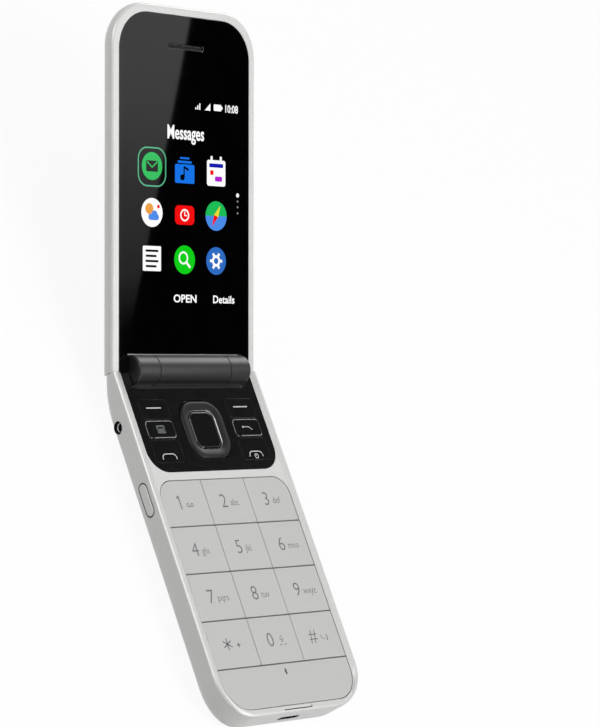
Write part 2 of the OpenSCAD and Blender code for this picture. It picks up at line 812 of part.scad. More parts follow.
module nav_gimbal() {
    color(rubber_grey) along_z(gimbal_z1 - gimbal_t, gimbal_z1) difference() {
        ring_shape(-gimbal_out);
        ring_shape(-ring_band + gimbal_in);
    }
}

select_lift = 0.05;
select_rise = 0.1;
module select_key() {
    color(black) along_z(cap_z + select_lift, base_t + select_rise) ring_shape(-ring_band - ring_gap);
}

// One keypad cap: its cell of the grid, cut to the window's outline
module number_key(col, row) {
    color(silver) along_z(cap_z, key_face) intersection() {
        keypad_window(move_gap);
        translate([col_x[col] + col_gap / 2, by(row_u[row + 1]) + row_gap / 2])
            square([col_x[col + 1] - col_x[col] - col_gap, row_pitch - row_gap]);
    }
}
module key_1() number_key(0, 0);
module key_2() number_key(1, 0);
module key_3() number_key(2, 0);
module key_4() number_key(0, 1);
module key_5() number_key(1, 1);
module key_6() number_key(2, 1);
module key_7() number_key(0, 2);
module key_8() number_key(1, 2);
module key_9() number_key(2, 2);
module key_star() number_key(0, 3);
module key_0() number_key(1, 3);
module key_hash() number_key(2, 3);

module lower_panel() {
    color(silver) along_z(cap_z, key_face) difference() {
        intersection() {
            keypad_window(fit_gap);
            translate([-window_w / 2, by(keypad_low)]) square([window_w, lower_panel_l - row_gap / 2]);
        }
        rounded_at(0, by(mic_u), mic_slot_w, mic_slot_l, (mic_slot_w - end_flat) / 2);
    }
}

btn_flange_t = 0.7;
btn_back_x = phone_w / 2 - base_wall - btn_flange_t;
btn_flange = 0.9;
btn_flange_h = 2.4;
btn_flange_r = 0.3;
btn_flange_drop = 0.1;
volume_gap = 0.3;

// Key in a slot of the side wall, with a flange behind the wall
module side_button(side, u, l, gap) {
    x_face = phone_w / 2 + side_btn_out;
    along_x(side > 0 ? btn_back_x : -x_face, side > 0 ? x_face : -btn_back_x) side_stadium(u, l, side_btn_h);
    intersection() {
        base_solid(base_wall + gap);
        along_x(side > 0 ? btn_back_x : -phone_w / 2, side > 0 ? phone_w / 2 : -btn_back_x)
            rounded_at(by(u), btn_z - btn_flange_drop, l + 2 * btn_flange, btn_flange_h, btn_flange_r);
    }
}
module sos_key() color(silver) side_button(-1, sos_u, sos_l, move_gap);
module volume_rocker() color(silver) side_button(1, volume_u, volume_l, volume_gap);

// ---------- Hinge ----------

foot_w = 22;
foot_u = 8.6;
foot_z0 = mat_z1 + fit_gap;
foot_z1 = ceiling_z - fit_gap;
mid_half = barrel_mid_w / 2;
bearing_l = 5;
bearing_x = mid_half - bearing_l;
cartridge_inset = 0.1;
cartridge_x0 = -mid_half + cartridge_inset;

// Middle of the barrel, with the strip that closes the gap to the keys
module hinge_cover() {
    color(graphite) difference() {
        union() {
            at_hinge() rod_x(-mid_half, mid_half, barrel_r);
            difference() {
                box([-strip_w / 2, by(strip_u), base_t - strip_t], [strip_w / 2, by(0), base_t]);
                for (side = [-1, 1])
                    at_hinge() translate([side * (mid_half + strip_w / 2), 0, 0])
                        rod_x(-strip_w / 2, strip_w / 2, trough_r);
                box([-strip_w, by(0) - trough_r / 2, 0], [-mid_half, by(0) + cut, base_t + cut]);
                box([mid_half, by(0) - trough_r / 2, 0], [strip_w, by(0) + cut, base_t + cut]);
            }
            box([-foot_w / 2, by(foot_u), foot_z0], [foot_w / 2, by(0), foot_z1]);
        }
        at_hinge() rod_x(-mid_half - cut, cartridge_x0 + cartridge_l + fit_gap, cartridge_r + hinge_fit / 2);
        at_hinge() rod_x(cartridge_x0 + cartridge_l, bearing_x, cartridge_r);
        at_hinge() rod_x(bearing_x - cut, mid_half + cut, sleeve_r + hinge_fit);
        flex_base_tail(flex_gap);
    }
}

shaft_in = 12;
shaft_end_gap = 0.5;
module hinge_cartridge() {
    color(steel) at_hinge() difference() {
        rod_x(cartridge_x0, cartridge_x0 + cartridge_l, cartridge_r);
        rod_x(cartridge_x0 - cut, cartridge_x0 + shaft_in + shaft_end_gap, shaft_r + hinge_fit);
    }
}

shaft_out = 5.5;
module hinge_shaft() {
    color(steel) in_lid() rod_x(-mid_half - knuckle_gap - shaft_out, cartridge_x0 + shaft_in, shaft_r);
}

sleeve_out = 3.2;
sleeve_inset = 0.2;
sleeve_x1 = mid_half + sleeve_out;
module hinge_sleeve() {
    color(steel) in_lid() difference() {
        rod_x(bearing_x + sleeve_inset, sleeve_x1, sleeve_r);
        rod_x(bearing_x - cut, sleeve_x1 + cut, sleeve_r - sleeve_wall);
    }
}

knuckle_x0 = mid_half + knuckle_gap;
knuckle_x1 = barrel_w / 2;
arm_inset = 0.3;
arm_x0 = knuckle_x0 + arm_inset;
arm_x1 = knuckle_x1 - arm_inset;
arm_v = 9;
arm_w0 = lid_plate_w0;
arm_w1 = glass_w0 - 2 * fit_gap;
arm_screw_v = 7;
arm_screw_x = arm_x0 + screw_head_r + 2 * arm_inset;

// End of the barrel: a flat-ended drum with an arm that reaches into the lid
module knuckle(side) {
    mirror([side < 0 ? 1 : 0, 0, 0]) {
        rotate([0, 90, 0]) translate([0, 0, knuckle_x0]) rotate_extrude() {
            square([barrel_r - barrel_end_r, knuckle_x1 - knuckle_x0]);
            square([barrel_r, knuckle_x1 - knuckle_x0 - barrel_end_r]);
            translate([barrel_r - barrel_end_r, knuckle_x1 - knuckle_x0 - barrel_end_r]) intersection() {
                circle(r = barrel_end_r);
                square(barrel_end_r);
            }
        }
        box([arm_x0, 0, arm_w0], [arm_x1, arm_v, arm_w1]);
    }
}

module arm_screw_place(side) translate([side * arm_screw_x, arm_screw_v, 0]) children();

module knuckle_left() {
    color(graphite) in_lid() difference() {
        knuckle(-1);
        rod_x(-knuckle_x0 - shaft_out, -knuckle_x0 + cut, shaft_r + fit_gap / 2);
        arm_screw_place(-1) screw_hole();
    }
}

flex_inset = 1.2;
flex_x1 = knuckle_x1 - flex_inset;
module knuckle_right() {
    color(graphite) in_lid() difference() {
        knuckle(1);
        rod_x(knuckle_x0 - cut, sleeve_x1 + fit_gap, sleeve_r + fit_gap / 2);
        rod_x(sleeve_x1, flex_x1 + flex_gap, flex_hub_r + flex_gap);
        flex_lid_tail(flex_gap);
        arm_screw_place(1) screw_hole();
    }
}

module screw_hole() {
    translate([0, 0, arm_w0 - cut]) cylinder(h = arm_w1 - arm_w0 + 2 * cut, r = screw_r + fit_gap);
    translate([0, 0, arm_w1 - screw_head_h - fit_gap]) cylinder(h = screw_head_h + cut, r = screw_head_r + fit_gap);
}

lid_screw_lift = 0.4;
lid_screw_w0 = lid_floor_w + lid_screw_lift;
module lid_screws() {
    color(steel) in_lid() for (side = [-1, 1]) arm_screw_place(side) {
        translate([0, 0, arm_w1 - screw_head_h]) cylinder(h = screw_head_h, r = screw_head_r);
        translate([0, 0, lid_screw_w0]) cylinder(h = arm_w1 - lid_screw_w0, r = screw_r);
    }
}

// Flex cable: a roll inside the sleeve with a tail into the base, and a roll round its end with a tail into the lid
flex_t = 0.15;
flex_gap = 0.2;
flex_r = 1.2;
flex_hub_r = 2.1;
flex_tail_w = 2.2;
flex_start = 0.4;
flex_x0 = bearing_x - flex_start - flex_tail_w;
flex_base_l = 7.8;
flex_base_angle = 22.6;
flex_lid_l = 12;

module flex_base_tail(grow) {
    at_hinge() rotate([180 + flex_base_angle, 0, 0])
        box([flex_x0 - grow, flex_r / 2, -flex_t / 2 - grow],
            [flex_x0 + flex_tail_w + grow, flex_base_l, flex_t / 2 + grow]);
}

module flex_lid_tail(grow) {
    box([flex_x1 - flex_tail_w - grow, 0, -flex_hub_r - grow],
        [flex_x1 + grow, flex_lid_l, -flex_hub_r + flex_t + grow]);
}

module hinge_flex() {
    color("#b5651d") union() {
        at_hinge() difference() {
            rod_x(flex_x0, flex_x1, flex_r);
            rod_x(flex_x0 - cut, flex_x1 + cut, flex_r - flex_t);
        }
        flex_base_tail(0);
    }
}

module lid_flex() {
    color("#b5651d") in_lid() difference() {
        union() {
            rod_x(flex_x1 - flex_tail_w, flex_x1, flex_hub_r);
            flex_lid_tail(0);
        }
        rod_x(flex_x1 - flex_tail_w - cut, flex_x1 + cut, flex_r + hinge_fit);
    }
}

// ---------- Lid ----------

module outer_glass_plan(grow) {
    half = phone_w / 2 - outer_glass_rim + grow;
    rounded(-half, half, -lid_end_over - lid_t, outer_glass_l + grow, lid_face_r, outer_glass_r + grow);
}

outer_glass_cut = 1.5;
boss_lap = 0.2;
camera_lip = 0.5;

// All that lies outside the glass's inner face, under its outline
module outer_glass_space(grow) {
    difference() {
        along_z(outer_w - cut, glass_w0 - outer_glass_cut + grow) outer_glass_plan(grow);
        lid_solid(outer_glass_t + grow);
    }
}

module lid_housing() {
    color(silver) in_lid() difference() {
        union() {
            difference() {
                lid_solid(0);
                intersection() {
                    lid_solid(lid_wall);
                    along_z(lid_floor_w, glass_w0 - fit_gap) square(4 * half_l, center = true);
                }
            }
            intersection() {
                lid_solid(0);
                trough(trough_r + trough_wall);
            }
            for (side = [-1, 1]) arm_screw_place(side)
                translate([0, 0, lid_floor_w - boss_lap])
                    cylinder(h = arm_w0 - fit_gap - lid_floor_w + boss_lap, r = post_r);
        }
        along_z(glass_w0 - fit_gap, face_w + cut) inner_glass_plan(fit_gap);
        outer_glass_space(fit_gap);
        trough(trough_r);
        // Window of the outer display and hole of the camera
        box([-outer_display_w / 2 - fit_gap, outer_display_v - outer_display_w / 2 - fit_gap, outer_w],
            [outer_display_w / 2 + fit_gap, outer_display_v + outer_display_w / 2 + fit_gap, lid_floor_w + cut]);
        translate([0, camera_v, outer_w]) cylinder(h = lid_floor + cut, r = camera_w / 2 - camera_lip);
        for (side = [-1, 1]) {
            mirror([side < 0 ? 1 : 0, 0, 0])
                box([arm_x0 - fit_gap, 0, arm_w0 - fit_gap], [arm_x1 + fit_gap, arm_v + fit_gap, face_w]);
            arm_screw_place(side) translate([0, 0, lid_screw_w0 - fit_gap]) cylinder(h = lid_t, r = screw_r);
        }
    }
}

module outer_glass() {
    color(black) in_lid() difference() {
        intersection() {
            lid_solid(0);
            outer_glass_space(0);
        }
        trough(trough_r);
    }
}

module outer_display() {
    color("#20242c") in_lid()
        box([-outer_display_w / 2, outer_display_v - outer_display_w / 2, outer_w + outer_glass_t + 2 * fit_gap],
            [outer_display_w / 2, outer_display_v + outer_display_w / 2, lid_board_w0 - fit_gap]);
}

// Inner glass: notched round the barrel, with an ear beside each end
module inner_glass_plan(grow) {
    half = inner_glass_w / 2 + grow;
    difference() {
        rounded(-half, half, -lid_end_over - grow, inner_glass_l + grow, lid_face_r, inner_glass_r + grow);
        translate([-trough_w / 2, -2 * cut]) square([trough_w, trough_r + 2 * cut]);
    }
}

module inner_glass() {
    color(black) in_lid() along_z(glass_w0, face_w) difference() {
        inner_glass_plan(0);
        rounded_at(0, ear_v, ear_slot_w, ear_slot_h, (ear_slot_h - end_flat) / 2);
    }
}

module main_display() {
    color("#0a0a0c") in_lid()
        box([-display_w / 2, display_v, display_w0], [display_w / 2, display_v + display_l, display_w1]);
}

lid_frame_gap = 0.3;
lid_frame_end = 2;
lid_frame_v0 = arm_v + lid_frame_gap;
lid_frame_v1 = half_l - lid_wall - lid_frame_end;
lid_frame_r0 = 1;
flex_slot_w = 6.2;
flex_slot_l = 2.4;
flex_slot_r = 0.3;
lid_frame_r = 9;

// Metal frame that holds the display, with a rim under the glass
module lid_chassis() {
    color(graphite) in_lid() difference() {
        union() {
            along_z(lid_plate_w0, lid_plate_w1) lid_frame_plan(0);
            along_z(lid_plate_w0, display_w1) difference() {
                lid_frame_plan(0);
                lid_frame_plan(-lid_frame_wall);
            }
        }
        translate([0, 0, lid_plate_w0 - cut]) along_z(0, lid_t)
            rounded_at(flex_x1 - flex_tail_w / 2, lid_frame_v0, flex_slot_w, flex_slot_l, flex_slot_r);
    }
}

module lid_frame_plan(grow) {
    half = lid_frame_w / 2 + grow;
    rounded(-half, half, lid_frame_v0 - grow, lid_frame_v1 + grow, lid_frame_r0, lid_frame_r + grow);
}

lid_board_v0 = 14.5;
lid_board_v1 = 84;
lid_board_r = 2;
module lid_board() {
    color(pcb_green) in_lid() along_z(lid_board_w0, lid_board_w1)
        rounded(-board_w / 2, board_w / 2, lid_board_v0, lid_board_v1, lid_board_r, lid_board_r);
}

ear_w = 13;
ear_l = 6.4;
ear_r = 3;
ear_gap = 0.1;
module earpiece() {
    color(steel) in_lid() along_z(display_w0, display_w1 - ear_gap) rounded_at(0, ear_v, ear_w, ear_l, ear_r);
}

camera_w0 = outer_w + outer_glass_t + 2 * fit_gap;
lens_r = 2.4;
// Camera with its lens barrel against the outer glass
module camera_module() {
    color(black) in_lid() translate([0, camera_v, 0]) {
        along_z(lid_floor_w + fit_gap, lid_plate_w0 - fit_gap) square(camera_w, center = true);
        translate([0, 0, camera_w0]) cylinder(h = lid_floor_w + 2 * fit_gap - camera_w0, r = lens_r);
    }
}

magnet_r = 2.5;
magnet_x = 14;
magnet_v = 91;
module magnet() {
    color(steel) in_lid() translate([magnet_x, magnet_v, lid_floor_w + fit_gap])
        cylinder(h = lid_plate_w0 - lid_floor_w - 2 * fit_gap, r = magnet_r);
}

base_housing();
battery_cover();
base_chassis();
main_board();
shield_can();
battery();
battery_contacts();
sim_socket();
usb_port();
headphone_jack();
loudspeaker();
microphone();
vibration_motor();
antenna();
dome_sheet();
keypad_mat();
nav_deck();
lower_panel();
hinge_cover();
hinge_cartridge();
base_screws();
key_1();
key_2();
key_3();
key_4();
key_5();
key_6();
key_7();
key_8();
key_9();
key_star();
key_0();
key_hash();
soft_key_left();
soft_key_right();
message_key();
back_key();
call_key();
end_key();
select_key();
nav_gimbal();
nav_ring();
sos_key();
volume_rocker();
lid_housing();
outer_glass();
outer_display();
lid_chassis();
inner_glass();
main_display();
lid_board();
earpiece();
camera_module();
magnet();
knuckle_left();
knuckle_right();
hinge_shaft();
hinge_sleeve();
hinge_flex();
lid_flex();
lid_screws();
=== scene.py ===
"""Looks of the flip phone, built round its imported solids.

Sizes are in millimetres until a piece is finished, and metres from then on. Base pieces are worked out in
(x, u, z), with u the distance from the hinge axis to the base's free end. Lid pieces are worked out in the
lid's own frame (x, v, w), with v the distance from the hinge axis to the lid's free end and w out of the
screen. A solid is a pair of points and faces.
"""
import json
import math

import bmesh
import bpy
import numpy as np
from mathutils import Matrix, Vector
from mathutils.geometry import tessellate_polygon


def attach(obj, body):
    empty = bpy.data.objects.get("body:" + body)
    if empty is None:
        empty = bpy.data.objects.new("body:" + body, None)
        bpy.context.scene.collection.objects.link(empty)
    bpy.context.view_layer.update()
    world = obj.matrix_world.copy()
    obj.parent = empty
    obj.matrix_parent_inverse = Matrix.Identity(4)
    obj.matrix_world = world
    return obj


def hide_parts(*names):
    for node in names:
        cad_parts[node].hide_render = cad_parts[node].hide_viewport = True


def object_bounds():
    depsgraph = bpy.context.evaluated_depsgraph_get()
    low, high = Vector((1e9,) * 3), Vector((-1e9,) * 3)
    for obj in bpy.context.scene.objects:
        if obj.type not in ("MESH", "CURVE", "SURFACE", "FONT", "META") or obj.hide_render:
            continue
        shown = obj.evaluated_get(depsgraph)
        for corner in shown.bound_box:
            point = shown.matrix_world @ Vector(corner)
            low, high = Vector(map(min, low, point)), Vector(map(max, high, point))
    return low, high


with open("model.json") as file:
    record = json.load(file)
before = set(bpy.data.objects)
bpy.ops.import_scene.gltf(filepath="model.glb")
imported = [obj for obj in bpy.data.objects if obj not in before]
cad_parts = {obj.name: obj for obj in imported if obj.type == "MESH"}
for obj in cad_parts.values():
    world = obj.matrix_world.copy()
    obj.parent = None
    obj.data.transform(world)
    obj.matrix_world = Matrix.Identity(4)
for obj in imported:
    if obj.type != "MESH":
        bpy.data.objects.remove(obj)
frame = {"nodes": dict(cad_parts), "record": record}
cad_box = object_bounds()

MM = 0.001  # metres in a millimetre
FAR = -4.0  # where the raw halves end, past the hinge, before they are cut
BIG = 200.0  # longer than the phone, for cutters

# ---------- Sizes of the solids ----------

HINGE_Y, HINGE_Z = 49.85, 10.98  # the hinge axis
LID_TILT = math.radians(25.9)  # lid above the base's plane at its open stop
HALF_W = 27.2  # half the width across the silver sides
HALF_L = 99.7  # length of each half from the hinge axis
CORNER_R = 12.0  # corners of the free ends

BASE_T = 10.5  # keypad face above the flat back
RAIL_H = 0.65  # rails above the keypad face
BACK_SIDE_R, BACK_END_R = 8.0, 3.0  # rounding of the back's edge, on the sides and at the free end
RAIL_SIDE_R, RAIL_END_R = 1.0, 0.75  # the same for the rails
COVER_H = 3.4  # battery cover's edge
WALL = 1.4  # walls of the two housings
COVER_WALL = 1.0
CEILING = BASE_T - 1.3  # inside of the keypad face
TAIL_L, TAIL_H = 12.0, 3.0  # upward curve of the back at the hinge: length and rise
TAIL_R = (TAIL_L**2 + TAIL_H**2) / (2 * TAIL_H)

CAP_Z = CEILING - 0.25  # undersides of the key caps
WINDOW_X = HALF_W - 2.5  # half the width of the keypad's window
WINDOW_R = (5.3, 5.3, 8.0, 8.0)  # its corners, two at the hinge and two at the free end
KEYPAD_TOP, KEYPAD_LOW = 32.2, HALF_L - 1.9  # its ends
ROW_PITCH = 13.45
COLUMNS = (-WINDOW_X, -8.15, 8.15, WINDOW_X)  # sides of the keys' three columns
MICROPHONE_U = 88.3

NAV_X, NAV_LOW, NAV_R = WINDOW_X - 0.2, 30.0, 6.5  # black panel: half width, end and corners
RING_U, RING_W, RING_L, RING_R = 17.8, 15.8, 17.4, 5.6  # navigation ring
SIDE_X, SIDE_W, SIDE_R = 16.5, 10.4, 1.1  # keys beside the ring: places, width and corners
SIDE_KEYS = ((11.4, 5.8), (17.39, 5.3), (23.78, 6.6))  # u and length of each pair
SIDE_PROUD = 0.12  # middle pair above the panel

BUTTON_U, BUTTON_Z, BUTTON_H = 36.5, 7.65, 2.8  # keys in the sides
SIDE_BUTTONS = (("sos_key", -1, 9.1), ("volume_rocker", 1, 19.0))  # node, side and length
JACK_U, JACK_Z, JACK_R = 14.5, 5.75, 1.8
PORT_Z = 5.75

LID_FACE = -0.48  # lid's inner face
LID_BACK = LID_FACE - 7.1  # its outer face
LID_SIDE_W, LID_SIDE_D = 6.9, 6.3  # quarter ellipse of the outer edge on the sides: width and depth
LID_END_W, LID_END_D = 8.6, 5.7  # the same at the free end
LID_FACE_R = 0.8  # rounding of the inner edge
LID_BAND = 2.45  # silver band round the inner glass
GLASS_BACK = LID_FACE - 1.0  # underside of the inner glass
GLASS_X, GLASS_V, GLASS_R = HALF_W - LID_BAND, HALF_L - LID_BAND, 10.5  # its half width, end and corners
OUTER_X, OUTER_V, OUTER_R = 25.6, 56.0, 5.5  # outer glass
EARPIECE_V = 88.75

BARREL_R, BARREL_X = 4.2, 21.2  # hinge barrel: radius and half length
TROUGH_R, TROUGH_X = BARREL_R + 0.25, BARREL_X + 0.25  # room for it
BARREL_MID_X = 13.4  # half length of its middle piece

# ---------- Camera: the photograph's own view ----------

PHOTO_W, PHOTO_H = 600, 727
FOCAL_PX = 2737.81
CAMERA_MM = (-523.79, -184.63, 498.37)
CAMERA_RIGHT = (0.688889330, -0.315607478, 0.652551462)
CAMERA_DOWN = (0.000740609, -0.899929782, -0.436034217)
CAMERA_FORWARD = (0.724866155, 0.300862605, -0.619718283)


def make_camera():
    """Camera at the place, turn and lens that put the solids on the photograph."""
    data = bpy.data.cameras.new("camera")
    data.sensor_fit = "AUTO"
    data.sensor_width = 36.0
    data.lens = FOCAL_PX * data.sensor_width / max(PHOTO_W, PHOTO_H)
    data.clip_start, data.clip_end = 0.01, 50.0
    obj = bpy.data.objects.new("camera", data)
    bpy.context.scene.collection.objects.link(obj)
    axes = Matrix((CAMERA_RIGHT, -Vector(CAMERA_DOWN), -Vector(CAMERA_FORWARD))).transposed()
    obj.matrix_world = Matrix.Translation(Vector(CAMERA_MM) * MM) @ axes.to_4x4()
    bpy.context.scene.camera = obj


make_camera()

# ---------- Nodes and materials ----------


def linear(code):
    """Linear colour of an sRGB hex code: c / 12.92 up to 0.04045, and ((c + 0.055) / 1.055)^2.4 past it."""
    c = np.array([int(code[i : i + 2], 16) for i in (1, 3, 5)]) / 255
    c = np.where(c <= 0.04045, c / 12.92, ((c + 0.055) / 1.055) ** 2.4)
    return (*c.tolist(), 1.0)


def add(tree, kind, settings=None, **inputs):
    """Adds a node. settings are its own properties. inputs are values, sockets or nodes, which give their
    first output. Each goes by its input's name, with _ for a space, or by the input's place as i0, i1."""
    node = tree.nodes.new(kind)
    for key, value in (settings or {}).items():
        setattr(node, key, value)
    for key, value in inputs.items():
        by_place = key[0] == "i" and key[1:].isdigit()
        socket = node.inputs[int(key[1:]) if by_place else key.replace("_", " ")]
        if isinstance(value, bpy.types.Node):
            value = value.outputs[0]
        if isinstance(value, bpy.types.NodeSocket):
            tree.links.new(value, socket)
        else:
            socket.default_value = value
    return node


def new_material(name):
    """Empty material, its node tree and its Object coordinates."""
    material = bpy.data.materials.new(name)
    material.use_nodes = True
    tree = material.node_tree
    tree.nodes.clear()
    return material, tree, add(tree, "ShaderNodeTexCoord").outputs["Object"]


def per_mm(size):
    """Texture scale at which one cell of a pattern measures size millimetres."""
    return 1.0 / (size * MM)


def finish_material(name, colours, grain, rough, metal=0.0, relief=0.0, spec=0.5, sheen=0.0):
    """A finish with two close tones mixed by grains of a size in mm. Its roughness goes from rough[0] to
    rough[1] with the same grains, and its surface rises by relief mm with them. sheen is a faint bloom
    where it turns away from the eye."""
    material, tree, place = new_material(name)
    noise = add(tree, "ShaderNodeTexNoise", Vector=place, Scale=per_mm(grain), Detail=2.0, Roughness=0.5)
    grains = noise.outputs["Fac"]
    tone = add(tree, "ShaderNodeValToRGB", Fac=grains)
    for stop, position, colour in zip(tone.color_ramp.elements, (0.3, 0.7), colours):
        stop.position = position
        stop.color = linear(colour)
    uneven = add(tree, "ShaderNodeMapRange", Value=grains, To_Min=rough[0], To_Max=rough[1])
    bumps = {"Normal": add(tree, "ShaderNodeBump", Height=grains, Distance=relief * MM)} if relief else {}
    shader = add(
        tree, "ShaderNodeBsdfPrincipled", Base_Color=tone, Roughness=uneven, Metallic=metal,
        Specular_IOR_Level=spec, Sheen_Weight=sheen, Sheen_Roughness=0.3, **bumps,
    )
    add(tree, "ShaderNodeOutputMaterial", Surface=shader)
    return material


# Satin silver metallic paint sprayed over moulded polycarbonate: a pale even grey with a fine sparkle, and
# soft broad highlights on the edges. The flakes measure about 0.05 mm and are drawn 0.35 mm wide, so that
# they show.
silver_paint = finish_material(
    "painted_polycarbonate_silver", ("#cbcbca", "#d2d2d0"), 0.35, (0.3, 0.42), metal=0.15, relief=0.002
)
# The same paint on the key caps, a little flatter, so that the face reads as one pale sheet. Its flakes are
# drawn 0.3 mm wide for the same reason.
key_paint = finish_material(
    "painted_key_caps_silver", ("#b9b9b7", "#c0c0be"), 0.3, (0.45, 0.58), metal=0.05, relief=0.002
)
# Acrylic, moulded and polished: deep black with mirror reflections, and faint wiping marks some 3 mm wide
black_gloss = finish_material(
    "polished_black_acrylic", ("#0b0b0c", "#0f0f10"), 3.0, (0.05, 0.09), relief=0.0005
)
# Hard-coated clear window printed black behind: blacker than the acrylic, and flatter
window_black = finish_material("hard_coated_window_black_print", ("#020203", "#040405"), 6.0, (0.015, 0.03))
# Black polycarbonate with a satin moulded skin: soft reflections, and a faint bloom where it turns away
# from the eye. The skin's grain of about 0.05 mm is drawn at 0.3 mm.
satin_black = finish_material(
    "satin_black_polycarbonate", ("#0a0a0b", "#0e0e0f"), 0.3, (0.34, 0.4), relief=0.0005, spec=0.36, sheen=0.2
)
# Dark satin paint on moulded plastic: a soft dull shine. Its grain is drawn at 0.3 mm too.
graphite = finish_material(
    "graphite_satin_paint", ("#161617", "#1d1d1e"), 0.3, (0.3, 0.38), relief=0.001, spec=0.13
)
# Polished chamfer of plated metal, which catches the light as a thin line. Laid flat on the middle side keys,
# the same metal is a painted highlight of their edges.
polished_edge_and_highlight = finish_material(
    "polished_chamfer_metal_and_painted_highlight", ("#7d7d80", "#8c8c8f"), 0.3, (0.38, 0.46), metal=1.0
)
# Grey ink pad-printed on the key caps: thin and matte. Its screen grain of 0.15 mm shows only close up.
grey_ink = finish_material("pad_printed_ink_grey", ("#5c5c5f", "#68686b"), 0.15, (0.55, 0.7))
# Pale ink pad-printed on black keys, with the same grain
pale_ink = finish_material("pad_printed_ink_pale", ("#c4c4c5", "#d0d0d1"), 0.15, (0.4, 0.55))
# The same ink laid thin, so that the black shows through
faint_ink = finish_material("pad_printed_ink_thin", ("#2f3735", "#39413f"), 0.15, (0.3, 0.45))
# Moulded black rubber behind gaps, holes and sockets: shows as near black depth. The same black is also laid
# as painted shade, in the bands that fill the gaps round the side keys and in the strip in the finger scoop.
black_rubber_and_shade = finish_material("moulded_rubber_black_and_painted_shade", ("#060607", "#0c0c0d"), 0.5, (0.6, 0.75), spec=0.2)
# Glass-filled nylon, moulded: dull dark grey, mottled by bundles of fibre 0.8 mm long
chassis_plastic = finish_material(
    "glass_filled_nylon_moulded", ("#2b2b2e", "#3a3a3d"), 0.8, (0.5, 0.65), relief=0.01
)
# Stainless steel, stamped: bright, with the faint cloudiness of rolled sheet
steel = finish_material(
    "stamped_stainless_steel", ("#a8abae", "#bcbfc2"), 1.2, (0.28, 0.42), metal=1.0, relief=0.002
)
# Copper contacts, plated with a flash of gold: warm and bright
gold_flash = finish_material("gold_flashed_contacts", ("#c39b45", "#d9b45c"), 0.6, (0.22, 0.35), metal=1.0)
# Silicone, moulded: milky grey and dull
silicone = finish_material("moulded_silicone_grey", ("#82868a", "#90949a"), 1.0, (0.6, 0.75), relief=0.01)
# Foil can under a shrunk plastic sleeve: dark, with slow unevenness
battery_sleeve = finish_material("battery_sleeve_dark", ("#1b1c20", "#26272b"), 2.0, (0.4, 0.5), relief=0.01)
# Polyimide film, laminated: clear amber, here a solid colour with a low shine
polyimide = finish_material("polyimide_film_amber", ("#9c5a1e", "#b56f2c"), 0.9, (0.3, 0.4))
# Liquid crystal panel behind its polariser: black with a slight blue cast
panel_glass = finish_material("panel_polariser_black", ("#08090c", "#0d0f14"), 4.0, (0.08, 0.14))


def make_board():
    """Circuit board of glass laminate under green solder mask: its copper tracks, 0.6 mm apart, show as
    paler raised lines."""
    material, tree, place = new_material("solder_mask_green_board")
    tracks = add(
        tree, "ShaderNodeTexBrick", {"offset": 0.5}, Vector=place, Scale=per_mm(2.4),
        Color1=linear("#1c5a38"), Color2=linear("#1a5233"), Mortar=linear("#2f7a4f"),
        Mortar_Size=0.03, Brick_Width=0.9, Row_Height=0.25,
    )
    noise = add(tree, "ShaderNodeTexNoise", Vector=place, Scale=per_mm(1.5), Detail=2.0, Roughness=0.5)
    uneven = add(tree, "ShaderNodeMapRange", Value=noise.outputs["Fac"], To_Min=0.25, To_Max=0.4)
    raised = add(tree, "ShaderNodeBump", Height=tracks.outputs["Fac"], Distance=0.03 * MM)
    shader = add(
        tree, "ShaderNodeBsdfPrincipled", Base_Color=tracks.outputs["Color"], Roughness=uneven, Normal=raised
    )
    add(tree, "ShaderNodeOutputMaterial", Surface=shader)
    return material


solder_mask = make_board()

PIXEL = 0.18  # pitch of the display's pixels


def lit_pixels(name, colour, level=1.0):
    """Lit display seen through its window: it shines in one colour, in square pixels with slightly dimmer
    gaps, under the window's gloss."""
    material, tree, place = new_material("lit_pixels_" + name)
    # one band of a Wave texture measures 2 pi / 20 of its scale
    scale = per_mm(PIXEL) * 2 * math.pi / 20
    across, along = (
        add(tree, "ShaderNodeTexWave", {"bands_direction": way}, Vector=place, Scale=scale).outputs["Fac"]
        for way in "XY"
    )
    grid = add(tree, "ShaderNodeMath", {"operation": "MULTIPLY"}, i0=across, i1=along)
    strength = add(tree, "ShaderNodeMapRange", Value=grid, To_Min=level * 0.9, To_Max=level)
    shader = add(
        tree, "ShaderNodeBsdfPrincipled", Base_Color=linear("#040405"), Roughness=0.03,
        Emission_Color=linear(colour), Emission_Strength=strength,
    )
    add(tree, "ShaderNodeOutputMaterial", Surface=shader)
    return material


# Colours of the lit display, clear beside its black window. "off" is a dark stroke in a lit shape.
LIT = {
    name: lit_pixels(name, colour)
    for name, colour in {
        "green": "#1fc25a", "mint": "#58b88a", "grey": "#a8a8a8", "lime": "#10d41a", "blue": "#1777ee",
        "sky": "#4d8ff0", "royal": "#2f6fc8", "red": "#fb0d0d", "orange": "#f2a23a", "yellow": "#f4e23c",
        "purple": "#b421d8", "navy": "#1418b4",
    }.items()
}
LIT["white"] = lit_pixels("white", "#ffffff", 1.06)
LIT["off"] = window_black

SLOT_FINISH = {
    "silver_paint": silver_paint,
    "black_gloss": black_gloss,
    "display_window": window_black,
    "display_panel": panel_glass,
    "graphite": graphite,
    "chassis_plastic": chassis_plastic,
    "board": solder_mask,
    "steel": steel,
    "gold_contact": gold_flash,
    "silicone": silicone,
    "battery_can": battery_sleeve,
    "flex_film": polyimide,
}

# ---------- Frames, outlines and surfaces ----------


def from_base(p):
    """(x, u, z) to the row frame: y runs against u."""
    p = np.asarray(p, float)
    return np.column_stack([p[:, 0], HINGE_Y - p[:, 1], p[:, 2]])


def from_lid(p):
    """(x, v, w) to the row frame: turned up about the hinge axis by the lid's tilt."""
    p = np.asarray(p, float)
    c, s = math.cos(LID_TILT), math.sin(LID_TILT)
    x, v, w = p.T
    return np.column_stack([x, HINGE_Y + c * v - s * w, HINGE_Z + s * v + c * w])


